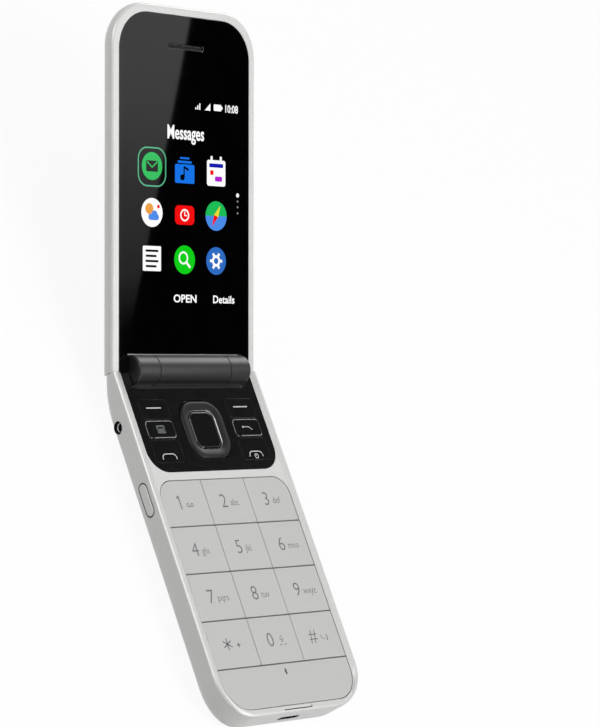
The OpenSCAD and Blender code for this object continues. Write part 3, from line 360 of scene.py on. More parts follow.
def round_ring(corners, radii, inset=0.0, n=6):
    """Closed outline through corners listed counter-clockwise, moved inwards by inset, each corner replaced
    by an arc: centre + r (sin((1 - t) a) v0 + sin(t a) v1) / sin(a), with v0 and v1 the ends'
    directions."""
    p = np.asarray(corners, float)
    r = np.broadcast_to(np.asarray(radii, float), len(p))
    edge = np.roll(p, -1, axis=0) - p
    edge /= np.linalg.norm(edge, axis=1)[:, None]
    after = np.column_stack([-edge[:, 1], edge[:, 0]])
    before = np.roll(after, 1, axis=0)
    back = np.roll(edge, 1, axis=0)
    side = np.sign(back[:, 0] * edge[:, 1] - back[:, 1] * edge[:, 0])[:, None]
    dot = np.sum(before * after, axis=1)
    miter = (before + after) / (1 + dot)[:, None]
    r = np.maximum(r - inset * side[:, 0], 1e-3)[:, None]
    centre = p + inset * miter + side * r * miter
    angle = np.arccos(np.clip(dot, -1, 1))[:, None, None]
    t = np.linspace(0, 1, n + 1)[None, :, None]
    v0, v1 = -side * before, -side * after
    arc = (np.sin((1 - t) * angle) * v0[:, None] + np.sin(t * angle) * v1[:, None]) / np.sin(angle)
    return (centre[:, None] + r[:, None] * arc).reshape(-1, 2)


def box_corners(x0, x1, y0, y1):
    """Corners of a rectangle, counter-clockwise from the low left one."""
    return [(x0, y0), (x1, y0), (x1, y1), (x0, y1)]


def centred(x, y, w, l):
    """Corners of a rectangle round a centre."""
    return box_corners(x - w / 2, x + w / 2, y - l / 2, y + l / 2)


def disc(x, y, r, n=32):
    """Circle of n points: (x + r cos a, y + r sin a)."""
    a = np.linspace(0, 2 * np.pi, n, endpoint=False)
    return np.column_stack([x + r * np.cos(a), y + r * np.sin(a)])


def at_height(ring, z):
    """Ring of (x, y) raised to z."""
    return np.column_stack([ring, np.broadcast_to(z, len(ring))])


def edge_rows(z0, z1, low, top, n=5):
    """Rows of (inset, z) from the lower face to the upper one: a quarter round r (1 - sin a), r (1 - cos a)
    of radius low, the wall, and a quarter round of radius top. One more row just inside each round keeps
    the flat faces flat to the light."""
    a = np.linspace(0, np.pi / 2, n + 1)
    rows = [[[low + 0.03, z0]]] if low else [[[0, z0]]]
    if low:
        rows.append(np.column_stack([low * (1 - np.sin(a)), z0 + low * (1 - np.cos(a))]))
    if top:
        rows.append(np.column_stack([top * (1 - np.cos(a)), z1 - top * (1 - np.sin(a))]))
    rows.append([[top + 0.03, z1]] if top else [[0, z1]])
    return np.vstack(rows)


def grid_faces(m, n, wrap=False):
    """Quads between m stacked closed rings of n points; wrap joins the last ring to the first."""
    i, j = np.meshgrid(np.arange(m if wrap else m - 1), np.arange(n), indexing="ij")
    up, k = (i + 1) % m, (j + 1) % n
    return np.stack([i * n + j, i * n + k, up * n + k, up * n + j], -1).reshape(-1, 4).tolist()


def loft(rings):
    """Surface through stacked closed rings, with one face over each end."""
    rings = np.asarray(rings, float)
    m, n = rings.shape[:2]
    ends = [list(range(n))[::-1], list(range((m - 1) * n, m * n))]
    return rings.reshape(-1, 3), grid_faces(m, n) + ends


def loop_loft(rings):
    """Surface through rings of which the last joins the first, such as a band."""
    rings = np.asarray(rings, float)
    return rings.reshape(-1, 3), grid_faces(*rings.shape[:2], wrap=True)


def slab(corners, radii, z0, z1, low=0.0, top=0.0, n=6, rows=5):
    """Flat-faced solid over a rounded outline, moved inwards along edge_rows to round its edges."""
    sides = edge_rows(z0, z1, low, top, rows)
    return loft([at_height(round_ring(corners, radii, d, n), z) for d, z in sides])


def prism(corners, radii, z0, z1, inset=0.0, n=10):
    """Straight solid over a rounded outline that is moved inwards by inset, for cutting."""
    return loft([at_height(round_ring(corners, radii, inset, n), z) for z in (z0, z1)])


def plate(outline, holes, z0, z1, low=0.0, top=0.0, n=6):
    """Flat-faced solid with holes. outline and each hole are (corners, radii); the edges of the holes round
    away from them. The two faces are cut into triangles between the outlines."""
    sides = edge_rows(z0, z1, low, top, 4)
    verts, faces, first, last, start = [], [], [], [], 0
    for k, (corners, radii) in enumerate([outline, *holes]):
        sign = -1 if k else 1
        rings = np.array([at_height(round_ring(corners, radii, sign * d, n), z) for d, z in sides])
        m, count = rings.shape[:2]
        verts.append(rings.reshape(-1, 3))
        faces += (np.array(grid_faces(m, count))[:, ::sign] + start).tolist()
        first.append((rings[0], start))
        last.append((rings[-1], start + (m - 1) * count))
        start += m * count
    for loops, flip in ((first, True), (last, False)):
        index = np.concatenate([np.arange(len(ring)) + at for ring, at in loops])
        flat = np.vstack([ring for ring, at in loops])
        for tri in tessellate_polygon([[Vector(p) for p in ring] for ring, at in loops]):
            a, b, c = flat[list(tri)]
            up = (b[0] - a[0]) * (c[1] - a[1]) - (b[1] - a[1]) * (c[0] - a[0]) > 0
            tri = index[list(tri)].tolist()
            faces.append(tri if up != flip else tri[::-1])
    return np.vstack(verts), faces


def turned(profile, n=96):
    """Solid of revolution about X, closed at both ends: (x, r sin a, r cos a) for each row (x, r)."""
    a = np.linspace(0, 2 * np.pi, n, endpoint=False)
    return loft([np.column_stack([np.full(n, x), r * np.sin(a), r * np.cos(a)]) for x, r in profile])


def joined(*solids):
    """Several solids in one mesh."""
    verts, faces, start = [], [], 0
    for v, f in solids:
        verts.append(v)
        faces += [[i + start for i in face] for face in f]
        start += len(v)
    return np.vstack(verts), faces


def along_x(solid):
    """A solid drawn in (y, z) and raised along its height, laid down so that its height runs along X."""
    v, faces = solid
    return np.column_stack([v[:, 2], v[:, 0], v[:, 1]]), faces


def stadium(u, z, l, h, x0, x1):
    """Bar with round ends along X, seen from the side as a slot at (u, z)."""
    return along_x(slab(centred(u, z, l, h), h / 2 - 0.01, x0, x1, n=10))


# ---------- Making pieces ----------


def raw(solid, name="cutter"):
    """Mesh object of a closed solid in millimetres, with its faces turned outwards."""
    verts, faces = solid
    mesh = bpy.data.meshes.new(name)
    mesh.from_pydata(np.asarray(verts).tolist(), [], faces)
    work = bmesh.new()
    work.from_mesh(mesh)
    bmesh.ops.remove_doubles(work, verts=work.verts, dist=1e-5)
    bmesh.ops.recalc_face_normals(work, faces=work.faces)
    work.to_mesh(mesh)
    work.free()
    obj = bpy.data.objects.new(name, mesh)
    bpy.context.scene.collection.objects.link(obj)
    return obj


def carve(obj, *steps):
    """Cuts solids from obj, or meets or joins it with them: each step is a solid or (operation, solid)."""
    helpers = []
    for step in steps:
        operation, solid = step if isinstance(step[0], str) else ("DIFFERENCE", step)
        helper = raw(solid)
        modifier = obj.modifiers.new("carve", "BOOLEAN")
        modifier.operation = operation
        modifier.solver = "EXACT"
        modifier.object = helper
        helpers.append(helper)
    graph = bpy.context.evaluated_depsgraph_get()
    mesh = bpy.data.meshes.new_from_object(obj.evaluated_get(graph))
    obj.modifiers.clear()
    obj.data = mesh
    for helper in helpers:
        bpy.data.objects.remove(helper)
    return obj


def solid_of(obj):
    """Points and faces of a working object, which is then removed."""
    solid = np.array([v.co for v in obj.data.vertices]), [list(p.vertices) for p in obj.data.polygons]
    bpy.data.objects.remove(obj)
    return solid


SAME_POINT = 2e-4  # points this close are one, in mm
SHARP = math.radians(32.0)  # faces meeting at more than this show an edge


def finish_piece(obj, name, material, body, slot=None, stands_for=(), place=from_base, chips=None):
    """Gives a raw solid its place, smoothing, material and body. chips bevels its sharp edges by that many
    mm."""
    mesh = obj.data
    work = bmesh.new()
    work.from_mesh(mesh)
    bmesh.ops.remove_doubles(work, verts=work.verts, dist=SAME_POINT)
    bmesh.ops.dissolve_degenerate(work, edges=work.edges, dist=SAME_POINT)
    work.to_mesh(mesh)
    work.free()
    flat = np.empty(len(mesh.vertices) * 3)
    mesh.vertices.foreach_get("co", flat)
    mesh.vertices.foreach_set("co", (place(flat.reshape(-1, 3)) * MM).ravel())
    work = bmesh.new()
    work.from_mesh(mesh)
    bmesh.ops.recalc_face_normals(work, faces=work.faces)
    work.to_mesh(mesh)
    work.free()
    mesh.polygons.foreach_set("use_smooth", np.ones(len(mesh.polygons), bool))
    mesh.set_sharp_from_angle(angle=SHARP)
    mesh.materials.clear()
    mesh.materials.append(material)
    obj.name = mesh.name = name
    if chips:
        bevel = obj.modifiers.new("edges", "BEVEL")
        bevel.width, bevel.segments = chips * MM, 2
        bevel.limit_method, bevel.angle_limit = "ANGLE", math.radians(50)
        bevel.use_clamp_overlap = True
    weighted = obj.modifiers.new("normals", "WEIGHTED_NORMAL")
    weighted.keep_sharp = True
    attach(obj, body)
    if stands_for:
        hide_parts(*stands_for)
    return obj


def piece(solid, name, material, body, **how):
    """A finished piece straight from a solid."""
    return finish_piece(raw(solid, name), name, material, body, **how)


# ---------- Outer forms of the halves ----------

SIDE_STEPS, ARC_STEPS, END_STEPS = 44, 20, 14


def half_outline(half_w, end, corner):
    """Outline of a half in (x, s), from the right side's hinge end round the free end to the left side's,
    and its outward normals. s is the distance from the hinge axis. The corners are (corner cos a, corner
    sin a) from their centres, and the left side mirrors the right one."""
    s = np.linspace(FAR, end - corner, SIDE_STEPS, endpoint=False)
    a = np.linspace(0, np.pi / 2, ARC_STEPS, endpoint=False)
    x = np.linspace(half_w - corner, 0, END_STEPS, endpoint=False)
    points = np.vstack([
        np.column_stack([np.full(len(s), half_w), s]),
        np.column_stack([half_w - corner + corner * np.cos(a), end - corner + corner * np.sin(a)]),
        np.column_stack([x, np.full(len(x), end)]),
    ])
    normals = np.vstack([
        np.column_stack([np.ones(len(s)), np.zeros(len(s))]),
        np.column_stack([np.cos(a), np.sin(a)]),
        np.column_stack([np.zeros(len(x)), np.ones(len(x))]),
    ])
    mirror = np.array([-1.0, 1.0])
    return (
        np.vstack([points, [[0.0, end]], points[::-1] * mirror]),
        np.vstack([normals, [[0.0, 1.0]], normals[::-1] * mirror]),
    )


def ease(t):
    """Smooth step from 0 to 1: t^2 (3 - 2 t)."""
    t = np.clip(t, 0, 1)
    return t * t * (3 - 2 * t)


def raise_tail(p):
    """Lifts the back towards the hinge by TAIL_R - sqrt(TAIL_R^2 - over^2), with over the way past TAIL_L,
    and less and less towards the keypad face, where nothing moves."""
    over = np.clip(TAIL_L - p[:, 1], 0, TAIL_R * 0.98)
    rise = TAIL_R - np.sqrt(TAIL_R**2 - over**2)
    p[:, 2] += rise * (1 - np.clip(p[:, 2] / BASE_T, 0, 1) ** 3)
    return p


def ladder(start, count):
    """Faces over the ring of count points from start, in strips between its two sides, so that it can bend
    towards the hinge."""
    last = SIDE_STEPS + ARC_STEPS - 1
    strips = [[start + i, start + i + 1, start + count - 2 - i, start + count - 1 - i] for i in range(last)]
    return strips + [list(range(start + last, start + count - last))]


def base_form(inset=0.0, top=None):
    """Base from its flat back up to the rails and down to the keypad face. The back's edge is a quarter
    round, r (1 - cos a) in from the outline and r (1 - sin a) up, whose radius goes from BACK_SIDE_R to
    BACK_END_R as the outline turns. The rail is a quarter round, a crest and a smooth slope. With an inset
    it is the cavity, which ends flat at top."""
    outline, normal = half_outline(HALF_W - inset, HALF_L - inset, CORNER_R - inset)
    sideways = np.abs(normal[:, 0])
    radius = BACK_END_R + (BACK_SIDE_R - BACK_END_R) * sideways**1.6 - inset * (0.5 + 0.5 * sideways)
    rings = []
    for a in np.linspace(np.pi / 2, 0, 17):
        d, z = radius * (1 - np.cos(a)), inset + radius * (1 - np.sin(a))
        rings.append(np.column_stack([outline - normal * d[:, None], z]))
    n = len(outline)
    if top is not None:
        rings.append(at_height(outline, top))
        points, faces = loft(rings)
        return raise_tail(points), faces[:-2] + ladder(0, n) + ladder(len(points) - n, n)
    rail = RAIL_H * ease(sideways * 1.6 - 0.5)
    crest = BASE_T + rail
    edge = RAIL_END_R + (RAIL_SIDE_R - RAIL_END_R) * sideways
    for a in np.linspace(0, np.pi / 2, 8):
        d, z = edge * (1 - np.cos(a)), crest - edge * (1 - np.sin(a))
        rings.append(np.column_stack([outline - normal * d[:, None], z]))
    inner, _ = half_outline(WINDOW_X, KEYPAD_LOW, WINDOW_R[2])
    crest_line = outline - normal * edge[:, None]
    for t in (0.12, 0.3, 0.5, 0.7, 0.85, 1.0):
        z = BASE_T + rail * (1 - ease((t - 0.1) / 0.9))
        rings.append(np.column_stack([crest_line + (inner - crest_line) * t, z]))
    points, faces = loft(rings)
    return raise_tail(points), faces[:-2] + ladder(0, n) + faces[-1:]


def lid_form(inset=0.0, top=None):
    """Lid from its outer face to its inner one. The outer edge is a quarter ellipse, wide (1 - cos a) in
    from the outline and deep (1 - sin a) up, whose two sizes change as the outline turns. The inner edge is
    a quarter round. With an inset it is the cavity, which ends flat at top."""
    outline, normal = half_outline(HALF_W - inset, HALF_L - inset, CORNER_R - inset)
    endways = ease(np.abs(normal[:, 1]))
    wide = LID_SIDE_W + (LID_END_W - LID_SIDE_W) * endways - inset
    deep = LID_SIDE_D + (LID_END_D - LID_SIDE_D) * endways - inset
    rings = []
    for a in np.linspace(np.pi / 2, 0, 19):
        d, w = wide * (1 - np.cos(a)), LID_BACK + inset + deep * (1 - np.sin(a))
        rings.append(np.column_stack([outline - normal * d[:, None], w]))
    if top is not None:
        rings.append(at_height(outline, top))
        return loft(rings)
    for a in np.linspace(0, np.pi / 2, 7):
        d, w = LID_FACE_R * (1 - np.cos(a)), LID_FACE - LID_FACE_R * (1 - np.sin(a))
        rings.append(at_height(outline - normal * d, w))
    return loft(rings)


def on_base(solid):
    """A solid turned about the hinge axis, from the lid's frame to (x, u, z)."""
    v, faces = solid
    return np.column_stack([v[:, 0], -v[:, 1], v[:, 2] + HINGE_Z]), faces


def hinge_rod(r, x0=-TROUGH_X, x1=TROUGH_X):
    """Round bar on the hinge axis, in the lid's frame."""
    return turned([(x0, r), (x1, r)])


def past_end(low, top, z0, z1):
    """Space past a half's leaning end face, which goes from s = low at z0 to s = top at z1: a prism along
    X."""
    profile = np.array([(-BIG, z0), (low, z0), (top, z1), (-BIG, z1)])
    return along_x(loft([at_height(profile, x) for x in (-BIG, BIG)]))


# ---------- Base ----------

TROUGH_WALL = 0.8
BASE_END = 0.6  # setback of the base's end face
BASE_LEAN = 0.153  # lean of that face per mm of depth
SPEAKER_U, SPEAKER_SLOTS, SPEAKER_PITCH = 24, 4, 1.9
BUTTON_GAP = 0.35  # room round the keys in the sides


def base_end():
    """Space past the base's end face."""
    low, top = -2, BASE_T + 2
    return past_end(BASE_END - BASE_LEAN * (top - low), BASE_END, low, top)


def port_ring(s, w, h, r, inset, n=8):
    """Outline of the charging port at s past the free end."""
    ring = round_ring(centred(0, PORT_Z, w, h), r, inset, n)
    return np.column_stack([ring[:, 0], np.full(len(ring), HALF_L + s), ring[:, 1]])


def port_mouth():
    """Mouth of the charging port through the free end: a low slot with round ends and a small flare
    outside."""
    rows = [(-3.0, 0.0), (-0.12, 0.0), (0.0, 0.08), (0.6, 0.3)]
    return loft([port_ring(s, 7.7, 2.6, 1.1, -grow, 10) for s, grow in rows])


def jack_hole():
    """Hole of the headphone socket through the left side."""
    return along_x(loft([at_height(disc(JACK_U, JACK_Z, JACK_R, 48), x) for x in (-HALF_W - 2, -HALF_W + 4)]))


def opening_lip():
    """Shallow scoop in the border past the keys, for the fingertip that opens the lid."""
    profile = np.array([(98.0, 10.8), (98.0, 10.49), (98.7, 10.08), (98.92, 10.4), (98.96, 10.8)])
    return along_x(loft([at_height(profile, x) for x in (-5.3, 5.3)]))


def make_housing():
    """Base housing: the outer form above the parting line, hollow, with its windows, slots and holes."""
    trough = ("INTERSECT", on_base(hinge_rod(TROUGH_R + TROUGH_WALL)))
    trough_wall = solid_of(carve(raw(base_form(0.4, CEILING)), trough))
    button_slots = [
        stadium(
            BUTTON_U, BUTTON_Z, l + 2 * BUTTON_GAP, BUTTON_H + 2 * BUTTON_GAP,
            *sorted((side * (HALF_W + 2), side * (HALF_W - 3))),
        )
        for _, side, l in SIDE_BUTTONS
    ]
    keypad = box_corners(-WINDOW_X, WINDOW_X, KEYPAD_TOP, KEYPAD_LOW)
    panel = box_corners(-NAV_X, NAV_X, FAR - 2, NAV_LOW)
    housing = carve(
        raw(base_form(), "base_shell"),
        base_form(WALL, CEILING),
        ("UNION", trough_wall),
        slab(centred(0, 50, BIG, 3 * BIG), 1, -5, COVER_H + 0.06),
        prism(keypad, WINDOW_R, CEILING - 1, BASE_T + 3, 0.04),
        slab(panel, (1, 1, NAV_R, NAV_R), CEILING - 1, BASE_T + 0.4, n=10),
        base_end(),
        on_base(hinge_rod(TROUGH_R)),
        *button_slots,
        jack_hole(),
        port_mouth(),
        opening_lip(),
    )
    finish_piece(
        housing, "base_shell", silver_paint, "base", slot="silver_paint", stands_for=["base_housing"]
    )


def make_cover():
    """Battery cover: the outer form below the parting line, hollow, with the loudspeaker's slots."""
    middle = (SPEAKER_SLOTS - 1) / 2
    slots = [
        slab(centred(-5, SPEAKER_U + (i - middle) * SPEAKER_PITCH, 8, 0.8), 0.39, -1, 3, n=8)
        for i in range(SPEAKER_SLOTS)
    ]
    cover = carve(
        raw(base_form(), "battery_door"),
        slab(centred(0, 50, BIG, 3 * BIG), 1, COVER_H, BASE_T + 5),
        base_form(COVER_WALL, CEILING),
        base_end(),
        joined(*slots),
    )
    finish_piece(
        cover, "battery_door", silver_paint, "base", slot="silver_paint", stands_for=["battery_cover"]
    )


make_housing()
make_cover()

KEY_NAMES = ("1", "2", "3", "4", "5", "6", "7", "8", "9", "star", "0", "hash")
KEY_GAP, ROW_GAP = 0.07, 0.17  # each cap's share of the gaps between columns and between rows
LEFT_GAP, EDGE_GAP = 0.13, 0.26  # between the keypad and its window, on the left and elsewhere
CAP_R = 0.25  # corners of the caps


def make_number_keys():
    """Key caps: each is one cell of the grid, with a fine rounded edge, and round outer corners where the
    window has them. Under them are the blank panel and the microphone's mesh."""
    for k, name in enumerate(KEY_NAMES):
        row, col = divmod(k, 3)
        x0 = COLUMNS[col] + (KEY_GAP if col else LEFT_GAP)
        x1 = COLUMNS[col + 1] - (KEY_GAP if col < 2 else EDGE_GAP)
        u0 = KEYPAD_TOP + row * ROW_PITCH + (ROW_GAP if row else EDGE_GAP)
        u1 = KEYPAD_TOP + (row + 1) * ROW_PITCH - ROW_GAP
        radii = [CAP_R] * 4
        if k == 0:
            radii[0] = WINDOW_R[0] - LEFT_GAP
        if k == 2:
            radii[1] = WINDOW_R[1] - EDGE_GAP
        solid = slab(box_corners(x0, x1, u0, u1), radii, CAP_Z, BASE_T, 0.1, 0.18, n=8, rows=4)
        node = "key_" + name
        piece(solid, "cap_" + name, key_paint, node, slot="silver_paint", stands_for=[node])
    top = KEYPAD_TOP + 4 * ROW_PITCH + ROW_GAP
    corners = box_corners(-WINDOW_X + LEFT_GAP, WINDOW_X - EDGE_GAP, top, KEYPAD_LOW - EDGE_GAP)
    radii = (CAP_R, CAP_R, WINDOW_R[2] - EDGE_GAP, WINDOW_R[3] - LEFT_GAP)
    slot = (centred(0, MICROPHONE_U, 0.6, 1.6), 0.29)
    panel = plate((corners, radii), [slot], CAP_Z, BASE_T, 0.1, 0.16, n=12)
    piece(panel, "blank_panel", key_paint, "base", slot="silver_paint", stands_for=["lower_panel"])
    mesh = slab(centred(0, MICROPHONE_U, 1.0, 2.0), 0.4, BASE_T - 0.75, BASE_T - 0.45, 0, 0.05)
    piece(mesh, "microphone_mesh", black_rubber_and_shade, "base")


make_number_keys()


def nav_outline(gap):
    """Outline of the black panel in (x, u): a plate with a notch for the barrel at its hinge end."""
    x, low, top = NAV_X - gap, NAV_LOW - gap, 0.75 + gap
    notch = [(-TROUGH_X, top), (-TROUGH_X, TROUGH_R), (-20.42, TROUGH_R), (-20.42, 5.28)]
    corners = [(-x, top), *notch, *[(-a, b) for a, b in notch[::-1]], (x, top), (x, low), (-x, low)]
    return corners, (0.15, 0.15, 0.05, 0.1, 0.1, 0.1, 0.1, 0.05, 0.15, 0.15, NAV_R - gap, NAV_R - gap)


def ring_corners(grow=0.0):
    """Corners of the navigation ring's outline."""
    return centred(0, RING_U, RING_W + 2 * grow, RING_L + 2 * grow)


def ring_rows(rows):
    """Rings of the navigation ring's outline, one for each row of (inset, z)."""
    return [at_height(round_ring(ring_corners(), RING_R, d, 14), z) for d, z in rows]


RING_GAP, SIDE_GAP = 0.28, 0.06  # openings of the panel round the ring and round the side keys


def make_panel():
    """Black panel with its openings, and the side keys in it, of which the middle pair stands a little
    proud."""
    holes = [(ring_corners(RING_GAP), RING_R + RING_GAP)]
    for x in (-SIDE_X, SIDE_X):
        for u, l in SIDE_KEYS:
            holes.append((centred(x, u, SIDE_W + 2 * SIDE_GAP, l + 2 * SIDE_GAP), SIDE_R + SIDE_GAP))
    piece(
        plate(nav_outline(0.08), holes, CEILING, BASE_T, 0.05, 0.01, n=12),
        "black_panel", black_gloss, "base", slot="black_gloss", stands_for=["nav_deck"],
    )
    nodes = (("soft_key_left", "soft_key_right"), ("message_key", "back_key"), ("call_key", "end_key"))
    for (u, l), pair, edge, proud in zip(SIDE_KEYS, nodes, (0.01, 0.3, 0.01), (0, SIDE_PROUD, 0)):
        for x, node in zip((-SIDE_X, SIDE_X), pair):
            cap = slab(centred(x, u, SIDE_W, l), SIDE_R, CAP_Z, BASE_T + proud, 0.05, edge, n=8)
            piece(cap, "cap_" + node, black_gloss, node, slot="black_gloss", stands_for=[node])


def make_ring():
    """Ring with an outer wall, a broad crowned top that falls inwards, a chamfer and an inner wall. A thin
    skin over the chamfer is its bright line. The select key is a slightly raised pad in it."""
    top = BASE_T + 0.55
    profile = [
        (0.12, CAP_Z + 0.2), (0.0, CAP_Z + 0.32), (0.0, BASE_T - 0.25), (0.06, BASE_T + 0.05),
        (0.2, BASE_T + 0.3), (0.42, top - 0.09), (0.75, top - 0.01), (1.1, top), (1.5, top - 0.03),
        (1.9, top - 0.09), (2.3, top - 0.17), (2.6, top - 0.25), (2.72, top - 0.3), (3.0, top - 0.62),
        (3.0, CAP_Z + 0.32), (2.88, CAP_Z + 0.2),
    ]
    ring = loop_loft(ring_rows(profile))
    piece(ring, "direction_ring", graphite, "nav_ring", slot="graphite", stands_for=["nav_ring"])
    skin = [(2.83, top - 0.425), (2.99, top - 0.6), (3.005, top - 0.59), (2.85, top - 0.415)]
    piece(loop_loft(ring_rows(skin)), "ring_chamfer", polished_edge_and_highlight, "nav_ring")
    inner = 3.28  # from the ring's outline in to the select key's
    pad = [
        (0.0, CAP_Z + 0.05), (0.0, BASE_T - 0.2), (0.04, BASE_T - 0.08), (0.12, BASE_T + 0.03),
        (0.26, BASE_T + 0.09), (0.4, BASE_T + 0.1), (0.45, BASE_T + 0.1),
    ]
    cap = loft(ring_rows([(inner + d, z) for d, z in pad]))
    piece(cap, "cap_select", black_gloss, "select_key", slot="black_gloss", stands_for=["select_key"])


make_panel()
make_ring()

BUTTON_PROUD = 0.15
GAP_SHADE_BAND = 0.36  # breadth of the black band in the gap round a button, painted shade of that gap


def make_side_buttons():
    """Keys in the sides: bars with round ends and a softly rounded face, each in a flat black band that fills
    its gap, painted shade of the gap.
    """
    for node, side, l in SIDE_BUTTONS:
        rows = edge_rows(HALF_W - 2.0, HALF_W + BUTTON_PROUD, 0.05, 0.3, 6)
        bar = [
            at_height(round_ring(centred(BUTTON_U, BUTTON_Z, l, BUTTON_H), 1.39, d, 12), side * x)
            for d, x in rows
        ]
        piece(
            along_x(loft(bar)), "button_" + node, silver_paint, node, slot="silver_paint", stands_for=[node]
        )
        # Black band filling the gap round the key, just under the surface, so that the gap shows dark:
        # painted shade.
        around = centred(BUTTON_U, BUTTON_Z, l + 2 * GAP_SHADE_BAND, BUTTON_H + 2 * GAP_SHADE_BAND)
        rows = ((0.0, 2.2), (0.0, 0.1), (GAP_SHADE_BAND + 0.01, 0.1), (GAP_SHADE_BAND + 0.01, 2.2))
        gap_shade = [at_height(round_ring(around, 1.75, d, 12), side * (HALF_W - deep)) for d, deep in rows]
        piece(along_x(loop_loft(gap_shade)), "gap_shade_" + node, black_rubber_and_shade, "base")


make_side_buttons()


def make_jack():
    """Headphone socket: a black tube with a lip, and the steel contact ring in it."""
    tube = [
        (-12.8, 2.0), (-25.4, 2.0), (-25.5, 1.79), (-26.82, 1.79), (-26.9, 1.7), (-26.8, 1.6), (-14.3, 1.6),
    ]
    tube = [at_height(disc(JACK_U, JACK_Z, r, 48), x) for x, r in tube]
    piece(along_x(loft(tube)), "jack_socket", black_rubber_and_shade, "base", stands_for=["headphone_jack"])
    contact = [(-25.0, 1.65), (-25.9, 1.6), (-26.0, 1.3), (-25.9, 1.15), (-25.0, 1.1)]
    contact = [at_height(disc(JACK_U, JACK_Z, r, 24), x) for x, r in contact]
    piece(along_x(loop_loft(contact)), "jack_contact", steel, "base")


def make_port():
    """Charging port: a black sleeve in its mouth, and a steel shell with its tongue behind."""
    sleeve = [(-2.0, -0.05), (-0.14, -0.02), (-0.1, 0.1), (-0.2, 0.25), (-2.0, 0.35)]
    sleeve = loop_loft([port_ring(s, 7.6, 2.5, 1.1, d) for s, d in sleeve])
    piece(sleeve, "charging_port_sleeve", black_rubber_and_shade, "base")
    shell = [(-6.6, 0.0), (-2.15, 0.0), (-2.12, 0.1), (-2.12, 0.22), (-2.2, 0.3), (-6.3, 0.3)]
    shell = loft([port_ring(s, 7.6, 2.5, 0.9, d) for s, d in shell])
    tongue = slab(centred(0, HALF_L - 4.8, 3.8, 3.2), 0.3, PORT_Z, PORT_Z + 0.6, 0.1, 0.1, rows=3)
    piece(joined(shell, tongue), "charging_socket", steel, "base", stands_for=["usb_port"])


def make_scoop_shade():
    """Black strip in the bottom of the finger scoop, which shows as a thin dark line: painted shade of the
    groove.
    """
    shade_strip = slab(box_corners(-4.9, 5.2, 98.58, 98.88), 0.14, 9.9, 10.27, 0.05, 0.05)
    piece(shade_strip, "scoop_painted_shade", black_rubber_and_shade, "base")


make_jack()
make_port()
make_scoop_shade()

# ---------- Hinge ----------

DRUM_EDGE = 0.16  # rounding where the barrel's pieces meet
DRUM_END = 0.5  # rounding of the barrel's two ends


def drum_edge(x):
    """Rows (x, r) up the quarter round that begins a drum at x: x + e (1 - cos t), BARREL_R - e (1 - sin
    t)."""
    t = np.linspace(0, np.pi / 2, 5)
    return np.column_stack([x + DRUM_EDGE * (1 - np.cos(t)), BARREL_R - DRUM_EDGE * (1 - np.sin(t))])


def make_barrel_middle():
    """Middle of the barrel, with the strip that closes the gap to the keys."""
    start = drum_edge(-BARREL_MID_X)
    barrel = raw(on_base(turned(np.vstack([start, start[::-1] * (-1, 1)]))), "barrel_middle")
    corners = box_corners(-20.3, 20.3, -0.5, 5.15)
    strip = raw(slab(corners, (0.1, 0.1, 0.4, 0.4), BASE_T - 0.8, BASE_T - 0.02, 0.05, 0.06))
    ends = [(-30, -BARREL_MID_X + 0.02), (BARREL_MID_X - 0.02, 30)]
    rooms = [on_base(hinge_rod(TROUGH_R, *end)) for end in ends]
    rooms += [slab(box_corners(*end, -3, 2), 0.1, 5, 12) for end in ends]
    carve(barrel, ("UNION", solid_of(carve(strip, *rooms))))
    finish_piece(
        barrel, "barrel_middle", satin_black, "base", slot="graphite", stands_for=["hinge_cover"]
    )


def make_drums():
    """Drum with a round outer end on each side of the barrel, and the arm that holds it in the lid."""
    t = np.linspace(0, np.pi / 2, 9)
    end = np.column_stack([BARREL_X - DRUM_END * (1 - np.sin(t)), BARREL_R - DRUM_END * (1 - np.cos(t))])
    rows = np.vstack([drum_edge(13.55), end, [(BARREL_X, BARREL_R - DRUM_END - 0.06)]])
    drum, drum_faces = turned(rows)
    arm, arm_faces = slab(box_corners(13.9, 20.8, 0, 9), 0.3, -3.9, -1.6)
    for side, name in ((-1, "left"), (1, "right")):
        mirror = np.array([side, 1, 1])
        obj = raw((drum * mirror, drum_faces), "knuckle_" + name)
        carve(obj, ("UNION", (arm * mirror, arm_faces)))
        finish_piece(
            obj, "drum_" + name, satin_black, "lid", slot="graphite", stands_for=["knuckle_" + name],
            place=from_lid,
        )


make_barrel_middle()
make_drums()

# ---------- Lid ----------

GLASS_GAP = 0.09  # line between a glass and the lid
LID_END, LID_LEAN = -0.5, 0.166  # lid's end face at its inner face, and its lean per mm of depth


def inner_window():
    """Outline of the inner glass in (x, v): round at the free end, with a notch for the barrel."""
    x, notch, end = GLASS_X, TROUGH_X, -0.5
    corners = [(-x, end), (-notch, end), (-notch, TROUGH_R), (notch, TROUGH_R), (notch, end), (x, end)]
    corners += [(x, GLASS_V), (-x, GLASS_V)]
    return corners, (0.3, 0.1, 0.1, 0.1, 0.1, 0.3, GLASS_R, GLASS_R)


def lid_end():
    """Space past the lid's end face."""
    low, top = LID_BACK - 2, 2.0
    return past_end(LID_END + LID_LEAN * (low - LID_FACE), LID_END + LID_LEAN * (top - LID_FACE), low, top)


def outer_prism(grow, w0, w1):
    """Prism over the outer glass's outline."""
    corners = box_corners(-OUTER_X, OUTER_X, FAR - 3, OUTER_V)
    return prism(corners, (0.5, 0.5, OUTER_R, OUTER_R), w0, w1, -grow, 12)


